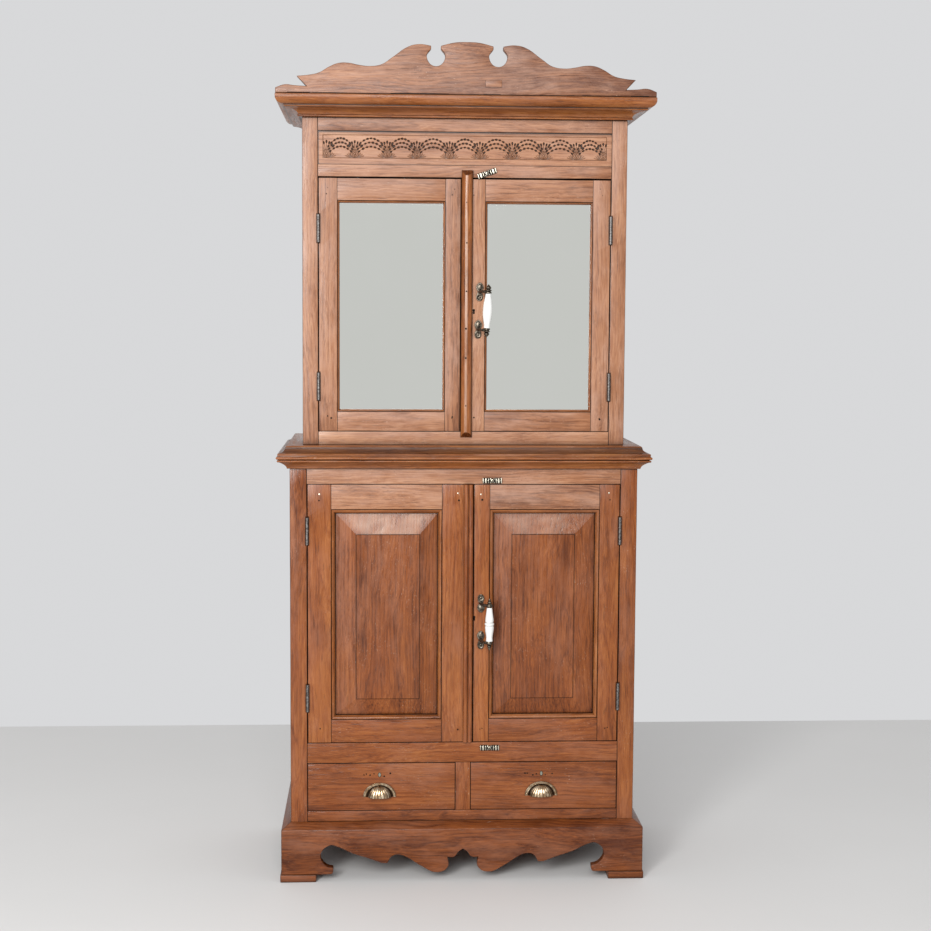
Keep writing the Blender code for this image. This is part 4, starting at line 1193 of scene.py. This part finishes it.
def astragal():
    """A rounded strip with a worn ridge and sloping ends, over the meeting of the leaves."""
    low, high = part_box("astragal")
    face = UPPER_FRONT - GAP
    half, middle = (high.x - low.x) / 2, (low.x + high.x) / 2
    # The third number is how black each corner is painted: painted shade along both feet, where the
    # strip meets the leaves, darker down its right side.
    right = [(half, 0.0, 1.0), (half, 0.0032, 0.9), (half - 0.0014, 0.0060, 0.7),
             (half - 0.0034, 0.0080, 0.2), (half - 0.0064, 0.0100, 0.0), (0.0046, 0.0113, 0.0),
             (0.0016, 0.0119, 0.15)]
    ridge = [(0.0010, 0.0120, 0.0), (-0.0050, 0.0120, 0.0)]
    left = [(-0.0056, 0.0116, 0.1), (-0.0086, 0.0100, 0.0), (-0.0112, 0.0076, 0.0),
            (-0.0132, 0.0050, 0.15), (-half, 0.0030, 0.5), (-half, 0.0, 0.9)]
    plan = right + ridge + left

    def end(z, way, beyond=0.0):
        return [
            (middle + x, face - out, z + way * (max(0.0, out - 0.0030) * 1.5 - beyond))
            for x, out, _ in plan
        ]

    shade_and_dirt = [black for _, _, black in plan]
    body = "upper_right_door"
    made = bar("astragal_strip", end(low.z + 0.0004, 1), end(high.z - 0.0004, -1), "Z",
               MOULDED, body, ("astragal",), 0.03, 0.0, 40, 0.0004, shade_and_dirt)
    chance = random.Random("astragal")
    worn = made.data.attributes.new("wear", "FLOAT", "POINT")
    for i, value in enumerate(worn.data):
        on_ridge = i % len(plan) in (len(right), len(right) + 1)
        value.value = chance.uniform(0.20, 0.60) if on_ridge else 0.0
    for name, z, way in (("bottom", low.z + 0.0004, 1), ("top", high.z - 0.0004, -1)):
        near, far = end(z, way, 0.0001), end(z, way, 0.0004)
        bar(f"astragal_end_{name}", near, far, "Z", MOULDED, body, (), -0.25, 0.0, 40, 0.0,
            [0.3] * len(plan))
    ridge_x = middle - 0.0020
    for k, share in enumerate((0.12, 0.30, 0.41, 0.55, 0.73, 0.88)):
        z = low.z + (high.z - low.z) * share
        dot(f"astragal_dent_{k + 1}", ridge_x + chance.uniform(-0.001, 0.001), z, face - 0.0117,
            chance.uniform(0.0014, 0.0027), "hole_dark", body)


def upper_doors():
    seats = hinge_seats("upper")
    lip, ease = 0.0102, 0.0060
    x, z = 0.0238, 1.4965
    keyhole = arc((x, z + 0.0034), 0.0032, -50, 230, 12)
    keyhole += arc((x, z - 0.0036), 0.0027, 130, 410, 12)
    tones = (0.0, -0.02, 0.06)
    for hand in HANDS:
        opening = opening_of(f"mirror_{hand}", MIRROR_LAP)
        leaf("upper", hand, UPPER_FRONT, opening, lip, ease, tones, seats[hand], keyhole)
        mirror(hand, UPPER_FRONT)
    astragal()


# ------------------------------------------------------------------ hardware


def hinge(node, front, outward, body):
    """Five knuckles on a pin, with a leaf let into the post and one into the door's edge."""
    low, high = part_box(node)
    x, y = (low.x + high.x) / 2, low.y + KNUCKLE_RADIUS
    neck = KNUCKLE_RADIUS - 0.0004
    length = (high.z - low.z) / 5
    for k in range(5):
        z = low.z + length * k
        top = z + length
        profile = [(0, z + 0.0001), (neck, z + 0.0001), (KNUCKLE_RADIUS, z + 0.0005),
                   (KNUCKLE_RADIUS, top - 0.0005), (neck, top - 0.0001), (0, top - 0.0001)]
        owner, stands_for = (body, ()) if k % 2 else ("carcass", (node,))
        turned(f"{node}_knuckle_{k + 1}", profile, (x, y, 0), "hinge_steel", owner, UPRIGHT,
               stands_for=stands_for)
    near, far, foot, top, ease = y + 0.001, front + 0.018, low.z + 0.001, high.z - 0.001, 0.001
    outline = [(near, foot), (far - ease, foot), (far, foot + ease), (far, top - ease),
               (far - ease, top), (near, top)]
    for name, way, owner in (("fixed", outward, "carcass"), ("moving", -outward, body)):
        across = sorted((x + way * 0.0001, x + way * 0.0008))
        bm = extruded([(across[0], *corner) for corner in outline], (across[1] - across[0], 0, 0))
        piece(f"{node}_{name}_leaf", bm, "hinge_steel", owner)


def hinges():
    for stage, front in (("lower", FRONT), ("upper", UPPER_FRONT)):
        for hand, outward in (("left", -1), ("right", 1)):
            for level in ("low", "high"):
                hinge(f"{stage}_hinge_{hand}_{level}", front, outward, f"{stage}_{hand}_door")


def smooth_profile(points, per_span=4):
    """A turned outline through (radius, height) points, as a smooth line."""
    points = [(radius, height, 0) for radius, height in points]
    return [(spot.x, spot.y) for spot in smooth_path(points, per_span * (len(points) - 1))]


ONION_FINIAL = mm([
    (0.4, 68.5), (1.6, 66.8), (4.0, 64.0), (6.6, 61.0), (7.0, 58.5), (5.4, 56.2), (5.0, 55.2),
    (8.0, 54.0), (8.4, 52.5), (7.0, 51.2), (6.0, 50.0), (7.8, 48.5), (8.2, 46.0), (7.8, 44.6),
])
CONE_FINIAL = mm([
    (0.4, 68.5), (2.2, 67.2), (2.8, 65.6), (2.0, 64.4), (4.0, 63.0), (4.2, 61.7), (3.0, 60.6),
    (5.6, 58.8), (5.8, 57.2), (4.4, 55.8), (6.6, 53.6), (8.4, 50.0), (8.4, 47.0), (7.6, 44.6),
])
LONG_GRIP = mm([
    (7.0, 43.8), (7.6, 40.0), (8.0, 35.0), (9.8, 27.0), (11.6, 15.0), (12.5, 0.0), (11.8, -14.0),
    (9.8, -26.0), (8.0, -34.5), (7.6, -40.0), (7.8, -43.8),
])
UPPER_BULB = mm([
    (6.8, 43.8), (7.4, 40.0), (8.4, 32.0), (9.8, 22.0), (11.0, 12.0), (10.8, 7.5), (9.4, 5.0),
])
GRIP_RING = mm([(9.4, 4.8), (12.0, 3.6), (12.5, 1.0), (12.0, -1.8), (9.4, -3.0)])
LOWER_BULB = mm([
    (9.4, -3.2), (11.2, -5.2), (11.6, -10.0), (10.6, -19.0), (9.0, -29.0), (8.4, -35.0),
    (8.6, -40.0), (9.0, -43.8),
])


BOW = 0.0395  # how far a handle's grip stands out from its door
BOW_LEAN = 0.020  # how far its arms swing to the right
BOW_HALF = 0.0485  # from its middle to its arms


def handle(stage, front, place, lean, finial, grip, turned_over):
    """A bow handle: backplates, arms that swing to the right, finials and a white grip."""
    body = f"{stage}_right_door"
    bar_node, grip_node = f"{stage}_handle_bar", f"{stage}_handle_grip"
    low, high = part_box(bar_node)
    at = Vector((place, front - BOW, (low.z + high.z) / 2))
    tilt = Matrix.Rotation(lean, 4, "Y")
    for i, part in enumerate(grip):
        outline = [(0.0, part[0][1]), *smooth_profile(part), (0.0, part[-1][1])]
        name = f"{grip_node}_{i + 1}"
        turned(name, outline, at, "white_ceramic", body, tilt, 40, 50, (grip_node,))
    for end, name in ((1, "top"), (-1, "bottom")):
        outline = [(0.0, 0.0686), *smooth_profile(finial, 3), (0.0, 0.0445)]
        outline = [(radius, end * height) for radius, height in outline]
        turned(f"{stage}_finial_{name}", outline, at, BRONZE, body, tilt, 32, 50, (bar_node,))
        way = -1 if name in turned_over else 1
        bronze_mount(f"{stage}_mount_{name}", at, tilt, end, body, way)


BACKPLATE = mm([
    (0.0, 24.2), (4.0, 22.5), (8.5, 16.5), (9.8, 11.0), (7.8, 5.0), (5.4, 0.5), (6.6, -5.0),
    (8.6, -11.0), (8.0, -17.5), (4.8, -22.5), (0.0, -24.0),
])
LEAF_BOSS = mm([(0.0, 2.6), (3.2, 2.3), (5.8, 1.4), (7.6, 0.0)])
SCREW_BOSS = mm([(0.0, 1.0), (4.6, 1.2), (6.2, 1.8), (7.0, 1.0), (7.4, 0.0)])


def bronze_mount(stem, at, tilt, end, body, way):
    """One end of a handle's bow: the plate, its two bosses, its screw and its arm."""
    root = at + tilt @ Vector((-BOW_LEAN, BOW - GAP, end * BOW_HALF))
    outline = smooth_profile(BACKPLATE, 3)
    outline += [(-x, z) for x, z in reversed(outline[1:-1])]
    outline = [(x, way * z) for x, z in outline]
    plate(f"{stem}_plate", outline, 0.0024, root, BRONZE, body, 0.0009, tilt)
    stretched = FACING @ Matrix.Scale(1.25, 4, (0, 1, 0))
    bosses = (("leaf", LEAF_BOSS, 0.0120, stretched), ("screw", SCREW_BOSS, -0.0145, FACING))
    for name, profile, up, turn in bosses:
        spot = root + tilt @ Vector((0, -0.0022, way * up))
        turned(f"{stem}_{name}_boss", profile, spot, BRONZE, body, tilt @ turn, 28, 50)
    seat = tilt @ Vector((0, -0.0036, -way * 0.0145))
    screw(f"{stem}_screw", root + seat, 0.0036, BRONZE, body, 35.0 * way)
    points = [(-BOW_LEAN, 0.0375, BOW_HALF), (-0.0195, 0.0270, 0.0490), (-0.0150, 0.0120, 0.0495),
              (-0.0080, 0.0030, 0.0492), (0.0, 0.0, BOW_HALF)]
    count = 16
    path = [at + tilt @ Vector((x, y, end * z)) for x, y, z in smooth_path(points, count)]
    radii = [0.0052 - 0.0018 * math.sin(math.pi * i / count) for i in range(count + 1)]
    tube(f"{stem}_arm", path, radii, BRONZE, body)


def handles():
    handle("upper", UPPER_FRONT, 0.0570, math.radians(2.2), ONION_FINIAL, [LONG_GRIP], ())
    three_parts = [UPPER_BULB, GRIP_RING, LOWER_BULB]
    handle("lower", FRONT, 0.0650, 0.0, CONE_FINIAL, three_parts, ("top",))


def half_shell(name, rings, at, body, stands_for=()):
    """A brass shell that opens downward, from half rings that run from the left to the right.

    A ring is a list of (x, y, z, black): how far each point is blackened, with tarnish and painted
    shade.
    """
    bm = bmesh.new()
    soot = bm.verts.layers.float.new("soot")
    loops = []
    for ring in rings:
        loops.append([bm.verts.new(spot[:3]) for spot in ring])
        for vert, spot in zip(loops[-1], ring):
            vert[soot] = spot[3]
    for near, far in zip(loops, loops[1:] + loops[:1]):
        for i in range(len(near) - 1):
            bm.faces.new((near[i], near[i + 1], far[i + 1], far[i]))
    for end in (0, -1):
        bm.faces.new([loop[end] for loop in loops])
    bm.transform(Matrix.Translation(at))
    return piece(name, bm, "brass", body, stands_for, 45)


def cup_pull(hand):
    """A half-round cup with flutes that meet at its crown, on a flange with a rolled rim."""
    node, body = f"cup_pull_{hand}", f"{hand}_drawer"
    low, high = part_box(node)
    at = ((low.x + high.x) / 2, FRONT - GAP, low.z)
    wide, tall = (high.x - low.x) / 2, high.z - low.z

    def flange_ring(share, out, black):
        lift = tall * (1 - 0.9 * (1 - share))
        angles = [math.pi * i / 64 for i in range(65)]
        return [(-wide * share * math.cos(a), -out, lift * math.sin(a), black) for a in angles]

    rim = [(0.72, 0.0, 1.0), (1.0, 0.0, 0.5), (1.0, 0.0010, 0.2), (0.988, 0.0022, 0.0),
           (0.968, 0.0027, 0.0), (0.950, 0.0022, 0.1), (0.940, 0.0013, 0.8), (0.925, 0.0012, 0.2),
           (0.862, 0.0012, 0.2), (0.850, 0.0018, 0.0), (0.832, 0.0023, 0.0), (0.818, 0.0018, 0.3),
           (0.808, 0.0008, 1.0), (0.72, 0.0008, 1.0)]
    half_shell(f"{node}_rim", [flange_ring(*spot) for spot in rim], at, body, (node,))
    cup_wide, cup_tall, reach = 0.0318, 0.0288, 0.0185
    flutes, depth, thick = 11, 0.0013, 0.0016

    def dome_ring(polar, inward, inside):
        """A level half ring of the cup, at an angle from its crown."""
        ring = []
        for a in (math.pi * i / 132 for i in range(133)):
            lobe = abs(math.sin(flutes * a)) ** 0.6
            size = 1 - (inward + depth * (1 - lobe) * math.sin(polar)) / cup_wide
            flat = size * math.sin(polar)
            # The dome is blackened along its flute valleys; the black towards its left and right
            # ends and on its inside is painted shade and painted dark reflection.
            black = min(1.0, 0.85 * (1 - lobe) + 0.75 * abs(math.cos(a)) ** 3)
            spot = (-cup_wide * flat * math.cos(a), -reach * flat * math.sin(a) - 0.0006,
                    cup_tall * size * math.cos(polar))
            ring.append((*spot, inside or black * math.sin(polar)))
        return ring

    polars = [math.radians(3 + 87 * i / 16) for i in range(17)]
    outer = [dome_ring(polar, 0.0, 0.0) for polar in polars]
    inner = [dome_ring(polar, thick, 1.0) for polar in reversed(polars)]
    half_shell(f"{node}_cup", outer + inner, at, body)
    for side in (-1, 1):
        spot = (at[0] + side * wide * 0.885, FRONT - 0.0016, low.z + 0.0050)
        screw(f"{node}_pin_{side + 1}", spot, 0.0015, "brass", body)


# The right drawer front's darker tone is partly painted shade towards the right.
DRAWER_TONES = {"left": -0.03, "right": -0.12}


def drawers():
    for hand in HANDS:
        body = f"{hand}_drawer"
        tone = DRAWER_TONES[hand]
        made = node_plank(f"drawer_front_{hand}", "X", "lower_wood", tone, 0.0015, body)
        plugged_keyhole(hand, made, tone)
        tray(hand, body)
        cup_pull(hand)


def plugged_keyhole(hand, made, tone):
    """An old keyhole over the pull, stopped with filler, among the marks of a lost plate."""
    low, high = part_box(f"cup_pull_{hand}")
    chance = random.Random(hand)
    x, z = (low.x + high.x) / 2, high.z + 0.021
    body = f"{hand}_drawer"
    angles = [math.radians(20 * i) for i in range(18)]
    outline = [(x + 0.0042 * math.cos(a), z + 0.0068 * math.sin(a)) for a in angles]
    carve(made, [prism(outline, FRONT - 0.001, FRONT + 0.004)], "X", tone)
    smaller = [(x + 0.72 * (px - x), z + 0.78 * (pz - z)) for px, pz in outline]
    fill = prism(smaller, FRONT + 0.0004, FRONT + 0.0041)
    piece(f"{hand}_keyhole_filler", fill, "filler", body, (), None)
    for k, offset in enumerate((-0.043, -0.036, -0.024, -0.013, 0.012, 0.027)):
        spot = (x + offset + chance.uniform(-0.002, 0.002), z + chance.uniform(-0.004, 0.004))
        radius = chance.uniform(0.0013, 0.0026)
        dot(f"{hand}_nail_{k + 1}", *spot, FRONT, radius, "hole_dark", body)


def tray(hand, body):
    """A drawer's box: two sides, a front and a back between them, and a bottom."""
    node = f"drawer_tray_{hand}"
    low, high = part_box(node)
    wall, floor = 0.010, 0.008
    x = (low.x + wall + GAP, high.x - wall - GAP)
    y = (low.y + wall + GAP, high.y - wall - GAP)
    middle, whole = (x[0] + x[1]) / 2, (low.y, high.y)
    upright, flat = (low.z, high.z), (low.z, low.z + floor)
    parts = (
        ("side_near", (low.x, low.x + wall), whole, upright, "Y"),
        ("side_far", (high.x - wall, high.x), whole, upright, "Y"),
        ("front", x, (low.y, low.y + wall), upright, "X"),
        ("back", x, (high.y - wall, high.y), upright, "X"),
        ("bottom_left", (x[0], middle - GAP / 2), y, flat, "Y"),
        ("bottom_right", (middle + GAP / 2, x[1]), y, flat, "Y"),
    )
    for name, across, along, up, grain in parts:
        plank(f"{node}_{name}", across, along, up, grain, "inside_wood", body, (node,))


BUTTON_HALF = 0.00725  # half the width of a turn button's widest part
BUTTON_THICK = 0.0048
BUTTON_PARTS = (  # near and far ends from the middle, share of the width, thickness
    # The neck, waist and groove are near-black: painted shade in the grooves.
    ("neck", 0.0064, 0.0090, 1.00, 0.0030, "hole_dark"),
    ("ring", 0.0090, 0.0112, 0.84, 0.0052, "pale_brass"),
    ("waist", 0.0112, 0.0142, 1.00, 0.0030, "hole_dark"),
    ("block", 0.0142, 0.0192, 0.84, 0.0056, "pale_brass"),
    ("groove", 0.0192, 0.0222, 1.00, 0.0030, "hole_dark"),
    ("cap", 0.0222, 0.0249, 0.90, 0.0048, "pale_brass"),
)


def turn_button(node, body, lean=0.0):
    """A turned cream-coloured catch: caps and blocks with grooves between them, painted black as
    shade.
    """
    low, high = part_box(node)
    at = Vector(((low.x + high.x) / 2, high.y, (low.z + high.z) / 2))
    tilt = Matrix.Rotation(-lean, 4, "Y")

    def part(name, ends, share, thick, finish, edge):
        outline = rectangle(ends, (-share * BUTTON_HALF, share * BUTTON_HALF))
        plate(f"{node}_{name}", outline, thick, at, finish, body, edge, tilt, (node,))

    part("middle", (-0.0064, 0.0064), 0.86, BUTTON_THICK, "pale_brass", 0.0012)
    for way in (-1, 1):
        for name, near, far, share, thick, finish in BUTTON_PARTS:
            edge = 0.0009 if finish == "pale_brass" else 0.0
            part(f"{name}_{way + 1}", (way * near, way * far), share, thick, finish, edge)
    seat = at + Vector((0, -BUTTON_THICK, 0))
    shade = [(0.0, 0.0003), (0.0062, 0.0003), (0.0063, 0.0)]
    turned(f"{node}_shade", shade, seat, "hole_dark", body)
    collar = [(0.0, 0.0007), (0.0037, 0.0008), (0.0042, 0.0005), (0.0043, 0.0)]
    turned(f"{node}_collar", collar, seat, "pale_brass", body, smooth=50)
    slot_angle = random.Random(node).uniform(10, 60)
    screw(f"{node}_screw", seat + Vector((0, -0.0004, 0)), 0.0030, BRONZE, body, slot_angle)


def turn_buttons():
    turn_button("turn_button_upper", "upper_turn_button", BUTTON_TILT)
    turn_button("turn_button_door_top", "door_top_turn_button")
    turn_button("turn_button_door_foot", "door_foot_turn_button")


# ------------------------------------------------------------------ studio


FLOOR_HALF = 9.0
FLOOR_END = 1.46  # how far back the floor goes, where a wall would stand


def studio():
    bm = bmesh.new()
    bmesh.ops.create_grid(bm, x_segments=8, y_segments=8, size=FLOOR_HALF)
    bmesh.ops.translate(bm, verts=bm.verts, vec=(0, FLOOR_END - FLOOR_HALF, 0))
    floor = linked("floor", meshed("floor", bm))
    floor.data.materials.append(pale_floor())
    world = bpy.data.worlds.new("studio")
    world.use_nodes = True
    backdrop = world.node_tree.nodes["Background"]
    backdrop.inputs["Color"].default_value = (0.98, 0.985, 1.0, 1.0)
    backdrop.inputs["Strength"].default_value = 0.70
    bpy.context.scene.world = world
    softbox("key", (-1.0, -5.5, 3.25), (0.0, 0.0, 1.1), (3.4, 2.2), 232.0)
    softbox("window", (-1.85, -4.4, 1.9), (0.0, 0.0, 1.2), (0.9, 1.8), 120.0)
    camera()


def softbox(name, place, target, size, power):
    light = bpy.data.lights.new(name, "AREA")
    light.shape = "RECTANGLE"
    light.size, light.size_y = size
    light.energy = power
    aim = (Vector(target) - Vector(place)).to_track_quat("-Z", "Y")
    made = linked(name, light)
    made.matrix_world = Matrix.Translation(place) @ aim.to_matrix().to_4x4()
    made.visible_camera = False


def camera():
    lens = bpy.data.cameras.new("camera")
    lens.sensor_width = 36.0
    lens.lens = 63.8
    lens.shift_y = -0.0072
    made = linked("camera", lens)
    yaw, pitch, roll = (math.radians(angle) for angle in (3.0, 4.96, 0.315))
    turn = (
        Matrix.Rotation(-yaw, 4, "Z")
        @ Matrix.Rotation(math.pi / 2 - pitch, 4, "X")
        @ Matrix.Rotation(roll, 4, "Z")
    )
    made.matrix_world = Matrix.Translation((-0.221, -4.463, 1.486)) @ turn
    bpy.context.scene.camera = made
    bpy.context.scene.view_settings.view_transform = "Standard"


plinth()
lower_carcass()
upper_carcass()
frieze()
lower_doors()
upper_doors()
hinges()
handles()
drawers()
turn_buttons()
studio()
